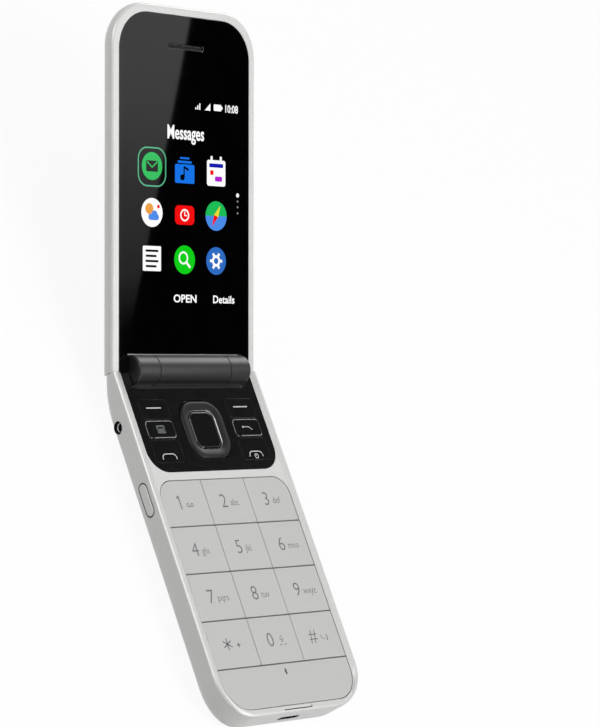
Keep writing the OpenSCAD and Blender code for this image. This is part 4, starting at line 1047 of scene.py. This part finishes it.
def make_lid_shell():
    """Lid housing: the outer form, hollow, with the room of both glasses and of the hinge barrel."""
    glass_room = solid_of(carve(raw(outer_prism(GLASS_GAP, LID_BACK - 3, -2.6)), lid_form(1.28)))
    trough = ("INTERSECT", hinge_rod(TROUGH_R + TROUGH_WALL))
    trough_wall = solid_of(carve(raw(lid_form(0.4, LID_FACE - 0.6)), trough))
    x, v, r = GLASS_X + GLASS_GAP, GLASS_V + GLASS_GAP, GLASS_R + GLASS_GAP
    recess = slab(box_corners(-x, x, FAR - 2, v), (0.1, 0.1, r, r), GLASS_BACK - 0.05, 2, n=12)
    below_floor = slab(box_corners(-40, 40, FAR - 5, 120), 1, -12, LID_BACK + 1.7)
    cavity = solid_of(carve(raw(lid_form(WALL, GLASS_BACK + 0.2)), below_floor))
    shell = raw(lid_form(), "lid_shell")
    carve(shell, cavity, ("UNION", trough_wall), recess, glass_room, lid_end(), hinge_rod(TROUGH_R))
    finish_piece(
        shell, "lid_shell", silver_paint, "lid", slot="silver_paint", stands_for=["lid_housing"],
        place=from_lid,
    )


def make_glasses():
    """Outer glass, a skin of the lid's own form wrapped over its long edges, inner glass with the
    earpiece's slot, and the mesh behind that slot."""
    outer = raw(lid_form(), "outer_window")
    skin = ("INTERSECT", outer_prism(0.0, LID_BACK - 3, -2.7))
    carve(outer, skin, lid_form(1.2), lid_end(), hinge_rod(TROUGH_R))
    finish_piece(
        outer, "outer_window", window_black, "lid", slot="display_window", stands_for=["outer_glass"],
        place=from_lid, chips=0.12,
    )
    slot = (centred(0, EARPIECE_V, 13.6, 1.15), 0.5)
    piece(
        plate(inner_window(), [slot], GLASS_BACK, LID_FACE, 0.0, 0.12, n=14),
        "inner_window", window_black, "lid", slot="display_window", stands_for=["inner_glass"],
        place=from_lid,
    )
    mesh = slab(centred(0, EARPIECE_V, 13.4, 0.95), 0.45, LID_FACE - 0.75, LID_FACE - 0.35, 0, 0.05)
    piece(mesh, "earpiece_mesh", black_rubber_and_shade, "lid", place=from_lid)


make_lid_shell()
make_glasses()

# ---------- Printed and lit marks ----------

LIFT = 0.012  # height of a printed or lit mark above its surface
FONT_DIGIT = 7.0  # height of a digit in the built-in font at size 10


def mark(outline, level=0):
    """Thin solid over an outline of points, standing on the surface z 0, one LIFT higher for each level."""
    outline = np.asarray(outline, float)
    area = np.sum(outline[:, 0] * np.roll(outline[:, 1], -1) - outline[:, 1] * np.roll(outline[:, 0], -1))
    return loft([at_height(outline[:: 1 if area > 0 else -1], z) for z in (-LIFT, LIFT * (level + 1))])


def band_mark(outer, inner, level=0):
    """Ring-shaped thin solid between two outlines with as many points each."""
    top = LIFT * (level + 1)
    rings = [at_height(outer, -LIFT), at_height(outer, top), at_height(inner, top), at_height(inner, -LIFT)]
    return loop_loft(rings)


def rect_mark(x, y, w, l, r=0.2, level=0):
    """Rounded rectangle mark round a centre."""
    return mark(round_ring(centred(x, y, w, l), r), level)


def frame_mark(x, y, w, l, r, band):
    """Rounded rectangle line of a given breadth."""
    corners = centred(x, y, w, l)
    return band_mark(round_ring(corners, r, 0, 10), round_ring(corners, r, band, 10))


def disc_mark(x, y, r, level=0):
    """Round mark."""
    return mark(disc(x, y, r, 40), level)


def circle_mark(x, y, r, band, level=0):
    """Circle line of a given breadth."""
    return band_mark(disc(x, y, r, 40), disc(x, y, r - band, 40), level)


def line_mark(points, width, level=0):
    """Line of a given width through points, with square ends: each point is moved half the width to either
    side."""
    p = np.asarray(points, float)
    d = np.gradient(p, axis=0)
    d /= np.linalg.norm(d, axis=1)[:, None]
    side = np.column_stack([-d[:, 1], d[:, 0]]) * width / 2
    return mark(np.vstack([p + side, (p - side)[::-1]]), level)


def spoke_mark(x, y, r0, r1, angle, width, level=0):
    """Straight line along a ray from (x, y) at an angle in degrees, from r0 to r1."""
    way = np.array([math.cos(math.radians(angle)), math.sin(math.radians(angle))])
    return line_mark([(x, y) + r0 * way, (x, y) + r1 * way], width, level)


def arc_points(x, y, r, a0, a1, n=14):
    """Points along an arc, with angles in degrees."""
    a = np.radians(np.linspace(a0, a1, n))
    return np.column_stack([x + r * np.cos(a), y + r * np.sin(a)])


def words(text, x, y, height, bolder=0.0, stretch=1.0, align="LEFT"):
    """Lettering of a given digit height in mm, as a thin solid."""
    data = bpy.data.curves.new("words", "FONT")
    data.body, data.align_x = text, align
    data.size, data.resolution_u = 10.0, 3
    data.extrude, data.offset = 0.5, bolder
    obj = bpy.data.objects.new("words", data)
    bpy.context.scene.collection.objects.link(obj)
    graph = bpy.context.evaluated_depsgraph_get()
    mesh = bpy.data.meshes.new_from_object(obj.evaluated_get(graph))
    v = np.empty(len(mesh.vertices) * 3)
    mesh.vertices.foreach_get("co", v)
    v = v.reshape(-1, 3)
    faces = [list(p.vertices) for p in mesh.polygons]
    bpy.data.objects.remove(obj)
    k = height / FONT_DIGIT
    z = np.where(v[:, 2] > 0, LIFT, -LIFT)
    return np.column_stack([x + v[:, 0] * k * stretch, y + v[:, 1] * k, z]), faces


def keypad_place(p, proud=0.0):
    """Marks on the keypad face: drawn upright as seen with the hinge up, with y measured from the hinge
    axis."""
    return np.column_stack([p[:, 0], HINGE_Y + p[:, 1], BASE_T + proud + p[:, 2]])


def raised_place(p):
    """Marks on the middle pair of side keys, which stand a little proud."""
    return keypad_place(p, SIDE_PROUD)


def screen_place(p):
    """Marks on the inner glass, in the lid's frame."""
    return from_lid(np.column_stack([p[:, 0], p[:, 1], LID_FACE + p[:, 2]]))


def outer_place(p):
    """Marks on the outer glass of the closed phone: upright with the hinge up, so turned round to face
    outwards."""
    return from_lid(np.column_stack([p[:, 0], -p[:, 1], LID_BACK - p[:, 2]]))


LEGEND_X = (-16.4, 0.0, 16.4)  # middles of the legends in the three columns
LETTERS = {
    "2": "abc", "3": "def", "4": "ghi", "5": "jkl", "6": "mno", "7": "pqrs", "8": "tuv", "9": "wxyz",
}


def star_marks(x, y):
    """Three crossed strokes, and a small plus."""
    arms = [spoke_mark(x - 1.6, y - 0.1, 1.7, -1.7, angle, 0.34) for angle in (90, 30, 150)]
    plus = [rect_mark(x + 2.3, y - 0.6, 1.3, 0.3, 0.1), rect_mark(x + 2.3, y - 0.6, 0.3, 1.3, 0.1)]
    return arms + plus


def one_marks(x, y):
    """A stroke with a flag, and two small circles on a line."""
    flag = line_mark([(x - 2.7, y + 1.2), (x - 2.0, y + 1.85), (x - 2.0, y + 1.8)], 0.34)
    stroke = rect_mark(x - 1.9, y, 0.38, 4.0, 0.05)
    circles = [circle_mark(x + at, y - 0.8, 0.55, 0.2) for at in (0.7, 2.3)]
    return [flag, stroke, *circles, rect_mark(x + 1.5, y - 1.26, 1.7, 0.18, 0.05)]


def digit_mark(text, x, y):
    """One large digit or sign."""
    return words(text, x - 2.0, y - 2.0, 4.0, bolder=-0.1, stretch=0.95, align="CENTER")


def zero_marks(x, y):
    """The digit, and a small triangle over a dash and two dashes."""
    corners = [(x + 1.6, y - 0.3), (x + 2.3, y + 0.9), (x + 3.0, y - 0.3), (x + 1.7, y - 0.3)]
    dashes = [rect_mark(x + 2.3 + side * 0.8, y - 1.7, 0.8, 0.26, 0.1) for side in (-1, 1)]
    under = rect_mark(x + 2.3, y - 0.8, 0.8, 0.28, 0.1)
    return [digit_mark("0", x, y), line_mark(corners, 0.2), under, *dashes]


def hash_marks(x, y):
    """The sign, and a small stroke, dot and arc."""
    stroke = line_mark([(x + 1.0, y - 0.3), (x + 1.5, y - 1.3)], 0.26)
    arc = line_mark(arc_points(x + 2.6, y - 0.9, 0.85, 60, -70, 7), 0.28)
    return [digit_mark("#", x, y), stroke, disc_mark(x + 2.2, y - 1.3, 0.2), arc]


OWN_MARKS = {"star": star_marks, "1": one_marks, "0": zero_marks, "hash": hash_marks}


def print_keypad():
    """Digits and letters on the caps, each riding with its own key."""
    for k, name in enumerate(KEY_NAMES):
        row, col = divmod(k, 3)
        x, y = LEGEND_X[col], -(KEYPAD_TOP + (row + 0.5) * ROW_PITCH) + 0.15
        if name in OWN_MARKS:
            solids = OWN_MARKS[name](x, y)
        else:
            letters = words(LETTERS[name], x + 0.25, y - 1.55, 2.0, bolder=-0.08, stretch=0.84)
            solids = [digit_mark(name, x, y), letters]
        piece(joined(*solids), "print_" + name, grey_ink, "key_" + name, place=keypad_place)


print_keypad()


def edge_highlights(x, top, low):
    """Two thin lines along a key's long edges, each turning down or up at one end: painted highlights of the
    key's raised edges, as flat strips of polished metal on the cap.
    """
    upper = np.vstack([arc_points(x - 4.1, top - 0.8, 0.8, 190, 90, 7), [(x + 3.6, top)]])
    lower = np.vstack([[(x - 3.2, low)], arc_points(x + 4.1, low + 0.8, 0.8, 270, 350, 7)])
    return joined(line_mark(upper, 0.13), line_mark(lower, 0.17))


def receiver_mark(x, y):
    """Arch with two feet."""
    arch = [
        [(x - 2.55, y - 1.55), (x - 2.5, y - 1.0)], arc_points(x - 1.3, y - 1.2, 1.2, 170, 90, 7),
        arc_points(x + 1.3, y - 1.2, 1.2, 90, 10, 7), [(x + 2.5, y - 1.0), (x + 2.55, y - 1.55)],
    ]
    return line_mark(np.vstack(arch), 0.27)


def print_panel():
    """Marks on the black panel's keys: dashes, painted highlights along edges, a sheet, an arrow and two
    receivers.
    """
    for x, node in ((-SIDE_X, "soft_key_left"), (SIDE_X, "soft_key_right")):
        piece(rect_mark(x, -11.0, 5.5, 0.34, 0.12), "print_" + node, pale_ink, node, place=keypad_place)
    u, l = SIDE_KEYS[1]
    for x, node in ((-SIDE_X, "message_key"), (SIDE_X, "back_key")):
        # painted highlights along the long edges of the raised middle keys
        lines = edge_highlights(x, -(u - l / 2) - 0.22, -(u + l / 2) + 0.22)
        piece(lines, "painted_highlight_" + node, polished_edge_and_highlight, node, place=raised_place)
    sheet = joined(frame_mark(-SIDE_X, -u, 3.0, 2.4, 0.3, 0.5), rect_mark(-SIDE_X, -u - 0.2, 2.6, 0.9, 0.1))
    piece(sheet, "print_message_key", faint_ink, "message_key", place=raised_place)
    x, y = SIDE_X, -u + 0.2
    arrow = joined(
        line_mark([(x - 1.5, y), (x + 0.6, y)], 0.2), line_mark([(x + 0.5, y), (x + 1.7, y - 0.9)], 0.2),
        disc_mark(x - 1.7, y, 0.3),
    )
    piece(arrow, "print_back_key", pale_ink, "back_key", place=raised_place)
    y = -24.6
    piece(receiver_mark(-SIDE_X, y), "print_call_key", pale_ink, "call_key", place=keypad_place)
    power = [circle_mark(x, y - 1.4, 0.75, 0.24), rect_mark(x, y - 1.0, 0.24, 0.75, 0.08)]
    hang_up = joined(receiver_mark(x, y), *power)
    piece(hang_up, "print_end_key", pale_ink, "end_key", place=keypad_place)


print_panel()

# Each icon adds its shapes to lit, round its middle (x, v).


def letter_icon(lit, x, v):
    """Letter on a green disc, in the selection frame."""
    lit("mint", frame_mark(x, v + 0.1, 10.6, 10.8, 3.4, 0.4))
    v += 0.3
    lit("green", disc_mark(x, v, 3.8))
    lit("off", rect_mark(x, v, 4.4, 3.0, 0.4, 1))
    lit("green", line_mark([(x - 1.9, v + 1.2), (x, v - 0.3), (x + 1.9, v + 1.2)], 0.45, 2))


def note_icon(lit, x, v):
    """Note on a blue tile with two bars over it."""
    lit("blue", rect_mark(x, v - 1.2, 7.4, 5.2, 0.5))
    lit("blue", rect_mark(x, v + 2.05, 5.3, 0.65, 0.2), rect_mark(x, v + 3.1, 3.6, 0.5, 0.2))
    lit("off", disc_mark(x - 0.9, v - 2.2, 0.85, 1), rect_mark(x - 0.25, v - 0.7, 0.45, 3.0, 0.1, 1))
    lit("off", line_mark([(x - 0.3, v + 0.7), (x + 1.5, v - 0.1)], 0.6, 1))


def calendar_icon(lit, x, v):
    """Calendar sheet with two rings and three fields."""
    lit("white", rect_mark(x, v - 0.4, 7.2, 7.2, 0.7))
    lit("white", *[rect_mark(x + side * 1.8, v + 3.6, 0.8, 1.4, 0.3) for side in (-1, 1)])
    lit("navy", rect_mark(x, v + 1.7, 5.4, 1.1, 0.2, 1))
    lit("red", rect_mark(x - 1.7, v - 0.3, 1.3, 1.3, 0.3, 1))
    lit("purple", rect_mark(x + 0.9, v - 2.0, 2.8, 1.4, 0.4, 1))


def weather_icon(lit, x, v):
    """Sun and cloud on a white disc."""
    lit("white", disc_mark(x, v, 3.95))
    lit("orange", disc_mark(x - 1.0, v + 1.0, 1.5, 1))
    lit("sky", rect_mark(x + 0.6, v - 1.2, 3.9, 1.7, 0.8, 2), disc_mark(x + 0.9, v - 0.5, 1.1, 2))
    lit("red", disc_mark(x + 2.4, v + 1.7, 0.5, 1))


def clock_icon(lit, x, v):
    """Clock face on a red tile."""
    lit("red", rect_mark(x, v - 0.25, 7.4, 5.3, 1.4))
    lit("white", circle_mark(x, v - 0.25, 1.7, 0.45, 1))
    lit("white", line_mark([(x, v + 0.75), (x, v - 0.35), (x + 0.8, v - 0.35)], 0.36, 1))


def compass_icon(lit, x, v):
    """Compass needle on a disc of two colours."""
    lit("green", mark(arc_points(x, v, 4.1, 0, 180, 24)))
    lit("sky", mark(arc_points(x, v, 4.1, 180, 360, 24)))
    lit("yellow", mark([(x - 0.8, v + 0.3), (x + 0.8, v - 0.3), (x + 1.6, v + 2.9)], 1))
    lit("red", mark([(x - 0.8, v + 0.3), (x - 1.6, v - 2.9), (x + 0.8, v - 0.3)], 1))


def list_icon(lit, x, v):
    """Four lines on a white sheet, every second one shorter."""
    lit("white", rect_mark(x, v, 6.8, 6.8, 0.35))
    for i in range(4):
        lit("off", rect_mark(x - 0.3 * (i % 2), v + 2.1 - 1.4 * i, 4.8 - 0.8 * (i % 2), 0.6, 0.2, 1))


def lens_icon(lit, x, v):
    """Magnifying lens on a green disc."""
    lit("lime", disc_mark(x, v, 3.95))
    lit("white", circle_mark(x - 0.5, v + 0.5, 1.8, 0.5, 1))
    lit("white", line_mark([(x + 0.7, v - 0.7), (x + 2.1, v - 2.1)], 0.7, 1))


def wheel_icon(lit, x, v):
    """Toothed wheel on a blue disc."""
    lit("royal", disc_mark(x, v, 3.85))
    lit("white", circle_mark(x, v, 1.6, 0.75, 1))
    lit("white", *[spoke_mark(x, v, 1.4, 2.4, angle, 0.8, 1) for angle in range(0, 360, 60)])


ICONS = (
    letter_icon, note_icon, calendar_icon, weather_icon, clock_icon, compass_icon, list_icon, lens_icon,
    wheel_icon,
)
ICON_X, ICON_V = (-12.6, -0.25, 11.9), (55.2, 42.9, 30.4)


def light_text(lit):
    """Status line with signal bars, a triangle, a battery and the time; title; soft keys' words; page
    dots."""
    lit("white", words("10:08", 15.0, 71.95, 2.1, bolder=0.2, stretch=0.82))
    lit("white", mark([(7.4, 72.0), (9.6, 72.0), (9.6, 74.0)]))
    lit("white", rect_mark(12.4, 73.0, 3.0, 1.8, 0.3), rect_mark(14.1, 73.0, 0.5, 0.8, 0.1))
    lit("white", *[rect_mark(4.0 + i * 0.75, 72.3 + i * 0.3, 0.45, 0.6 + i * 0.6, 0.1) for i in range(3)])
    lit("white", words("Messages", 0.1, 63.5, 3.7, bolder=0.22, stretch=0.72, align="CENTER"))
    lit("white", words("OPEN", 0.0, 18.7, 2.1, bolder=0.24, stretch=1.15, align="CENTER"))
    lit("white", words("Details", 14.9, 18.7, 2.1, bolder=0.2, stretch=1.02, align="CENTER"))
    lit("white", disc_mark(20.35, 49.0, 0.58))
    lit("grey", *[disc_mark(20.35, v, 0.26) for v in (47.3, 45.7, 44.0)])


def light_screen():
    """Menu on the display, one piece for each colour: its text and nine icons of generic design. A small
    sensor shows beside the earpiece."""
    groups = {}

    def lit(colour, *solids):
        """Adds solids to the group of their colour."""
        groups.setdefault(colour, []).extend(solids)

    light_text(lit)
    for k, icon in enumerate(ICONS):
        row, col = divmod(k, 3)
        icon(lit, ICON_X[col], ICON_V[row])
    for colour, solids in groups.items():
        piece(joined(*solids), "screen_" + colour, LIT[colour], "lid", place=screen_place)
    piece(disc_mark(6.4, 88.1, 0.2), "light_sensor", grey_ink, "lid", place=screen_place)


def light_outer():
    """Clock over four short dashes on the outer display."""
    clock = words("10:08", 0.0, -33.6, 5.4, bolder=0.3, stretch=0.95, align="CENTER")
    dashes = [rect_mark(-3.0 + i * 2.0, -38.0, 1.5, 0.9, 0.2) for i in range(4)]
    piece(joined(clock, *dashes), "outer_clock", LIT["white"], "lid", place=outer_place)


light_screen()
light_outer()

# ---------- Carried-over solids ----------

for part in frame["record"]["subparts"]:
    node = frame["nodes"].get(part["node"])
    if node is not None:
        node.data.materials.clear()
        node.data.materials.append(SLOT_FINISH[part["material_slot"]])

# ---------- Floor, lights and world ----------

WHITE = linear("#ffffff")
OWN_WHITE = 0.92  # share of the floor's white that is its own light to the camera; the rest takes the shadow
BOUNCE = 0.6  # floor's white in the light that it sends to the phone
WORLD_LEVEL = 0.43  # strength of the surroundings in the light on the phone


def seen_rays(tree):
    """1 for rays of the camera, reflections and clear materials, and 0 for the rest."""
    path = add(tree, "ShaderNodeLightPath").outputs
    either = {"operation": "MAXIMUM"}
    first = add(tree, "ShaderNodeMath", either, i0=path["Is Camera Ray"], i1=path["Is Glossy Ray"])
    return add(tree, "ShaderNodeMath", either, i0=first, i1=path["Is Transmission Ray"])


def stage_sheet(name, verts, faces, material):
    """Sheet of the studio, which is no part of the phone."""
    mesh = bpy.data.meshes.new(name)
    mesh.from_pydata(np.asarray(verts).tolist(), [], faces)
    sheet = bpy.data.objects.new(name, mesh)
    bpy.context.scene.collection.objects.link(sheet)
    mesh.materials.append(material)
    return sheet


def make_floor():
    """White paper under the phone's back. To the camera it is mostly its own white, with a faint shadow."""
    material, tree, place = new_material("matte_paper_white")
    seen = seen_rays(tree)
    noise = add(tree, "ShaderNodeTexNoise", Vector=place, Scale=per_mm(20.0), Detail=2.0, Roughness=0.5)
    shader = add(
        tree, "ShaderNodeBsdfPrincipled", Specular_IOR_Level=0.0, Emission_Color=WHITE,
        Base_Color=add(tree, "ShaderNodeMapRange", Value=seen, To_Min=BOUNCE, To_Max=1 - OWN_WHITE),
        Emission_Strength=add(tree, "ShaderNodeMapRange", Value=seen, To_Min=0.0, To_Max=OWN_WHITE),
        Roughness=add(tree, "ShaderNodeMapRange", Value=noise.outputs["Fac"], To_Min=0.85, To_Max=0.95),
    )
    add(tree, "ShaderNodeOutputMaterial", Surface=shader)
    size, z = 6.0, cad_box[0][2] - 0.00002
    corners = [(x, y, z) for x, y in box_corners(-size, size, -size, size)]
    stage_sheet("floor", corners, [(0, 1, 2, 3)], material)


def reflected(points, normal):
    """Where the camera, mirrored in the plane through the points (row frame, mm), sees them from twice as
    far: the places of a card whose reflection falls exactly on them."""
    points, normal = np.asarray(points, float), np.asarray(normal, float)
    eye = np.array(CAMERA_MM)
    image = eye - 2 * np.dot(eye - points[0], normal) * normal
    return image + 2 * (points - image)


def make_card(name, points, glow):
    """Card that only reflections see, as a grid of points (row frame, mm) with a glow at each."""
    rows, cols = glow.shape
    i, j = np.meshgrid(np.arange(rows - 1), np.arange(cols - 1), indexing="ij")
    k = (i * cols + j).ravel()
    faces = np.column_stack([k, k + 1, k + cols + 1, k + cols]).tolist()
    material, tree, _ = new_material("felt_card_" + name)
    level = add(tree, "ShaderNodeAttribute", {"attribute_name": "glow"}).outputs["Fac"]
    shader = add(
        tree, "ShaderNodeBsdfPrincipled", Base_Color=linear("#000000"),
        Specular_IOR_Level=0.0, Emission_Color=WHITE, Emission_Strength=level,
    )
    add(tree, "ShaderNodeOutputMaterial", Surface=shader)
    card = stage_sheet(name, points * MM, faces, material)
    card.data.attributes.new("glow", "FLOAT", "POINT").data.foreach_set("value", glow.ravel())
    card.visible_camera = False
    card.visible_diffuse = False
    card.visible_shadow = False
    card.visible_transmission = False


def make_lid_card():
    """Card that the lid mirrors. On the glass it is pale on one side of a diagonal, fading towards the
    hinge, and black on the other; past the glass its bright margin lifts the silver frame."""
    v = np.array([-420.0, 5, 10, 15, 20, 26, 34, 42, 50, 58, 65, 72, 80, 94, 106])
    shine = 1.05 * np.array([0, 0, 0.01, 0.055, 0.17, 0.34, 0.41, 0.48, 0.56, 0.68, 0.8, 0.87, 0.93, 1, 1])
    diagonal = -20 + (v - 13.3) * 0.26
    far = np.minimum(diagonal, -25.4)
    right = np.full(len(v), 60.0)
    x = np.column_stack([far - 150, far - 1.4, far - 1, diagonal - 0.05, diagonal + 0.35, right])
    grid = np.column_stack([x.ravel(), np.repeat(v, x.shape[1]), np.full(x.size, LID_FACE)])
    glow = np.column_stack([np.full((len(v), 2), 5.5), shine, shine, 0 * shine, 0 * shine])
    make_card("lid_card", reflected(from_lid(grid), (0, -math.sin(LID_TILT), math.cos(LID_TILT))), glow)


def make_panel_card():
    """Dark grey card that the black panel and its keys mirror."""
    grid = from_base([(x, u, BASE_T) for u in (-8.0, 36.0) for x in (-45, 45)])
    make_card("panel_card", reflected(grid, (0, 0, 1)), np.full((2, 2), 0.09))


def make_barrel_card():
    """Card that the hinge barrel mirrors, black and then paler where the barrel turns up. For each point of
    the barrel the ray from the camera bounces off it, d - 2 (d . n) n, and the card is where the ray has
    gone 160 mm or reaches the floor."""
    reach = 160
    t = np.radians([-15, 0, 15, 25, 35, 45, 55, 65])
    shade = np.array([0, 0, 0, 0, 0, 0, 0.2, 0.6])
    x, t = np.tile([-BARREL_X, BARREL_X], len(t)), np.repeat(t, 2)
    normal = np.column_stack([0 * t, -np.cos(t), np.sin(t)])
    points = normal * BARREL_R + np.column_stack([x, 0 * t + HINGE_Y, 0 * t + HINGE_Z])
    sight = points - CAMERA_MM
    sight /= np.linalg.norm(sight, axis=1)[:, None]
    bounce = sight - 2 * (sight * normal).sum(axis=1)[:, None] * normal
    to_floor = (points[:, 2] - 0.5) / np.maximum(-bounce[:, 2], 0.01)
    way = np.where(bounce[:, 2] < 0, np.minimum(reach, to_floor), reach)
    make_card("barrel_card", points + way[:, None] * bounce, np.repeat(shade, 2).reshape(-1, 2))


def soft_light(name, place, size, power, glossy=True, diffuse=True):
    """Square softbox aimed at the phone, in metres and watts. It may be left out of reflections or of the
    light on matte surfaces."""
    data = bpy.data.lights.new(name, "AREA")
    data.shape = "SQUARE"
    data.size = size
    data.energy = power
    lamp = bpy.data.objects.new(name, data)
    bpy.context.scene.collection.objects.link(lamp)
    lamp.location = place
    lamp.rotation_mode = "QUATERNION"
    lamp.rotation_quaternion = (-Vector(place)).to_track_quat("-Z", "Y")
    lamp.visible_glossy = glossy
    lamp.visible_diffuse = diffuse


def make_world():
    """White surroundings: full strength for the camera, reflections and clear materials, and WORLD_LEVEL
    for the rest."""
    world = bpy.data.worlds.new("studio")
    bpy.context.scene.world = world
    world.use_nodes = True
    tree = world.node_tree
    tree.nodes.clear()
    strength = add(tree, "ShaderNodeMapRange", Value=seen_rays(tree), To_Min=WORLD_LEVEL, To_Max=1.0)
    back = add(tree, "ShaderNodeBackground", Color=WHITE, Strength=strength)
    add(tree, "ShaderNodeOutputWorld", Surface=back)


make_floor()
make_lid_card()
make_panel_card()
make_barrel_card()
make_world()
# Broad light from the front and above, and a small one that keeps the left side from going dull
soft_light("front_softbox", (0.2, -0.5, 1.1), 0.6, 7.2, glossy=False)
soft_light("side_softbox", (-0.42, 0.5, 0.22), 0.25, 0.8, glossy=False)
# Highlights: along the silver edges, and along the top of the hinge barrel
soft_light("edge_softbox", (-0.7, 0.34, 0.82), 0.5, 6.0, diffuse=False)
soft_light("barrel_softbox", (0.84, 0.76, 0.5), 0.6, 6.0, diffuse=False)

scene = bpy.context.scene
scene.view_settings.view_transform = "Standard"
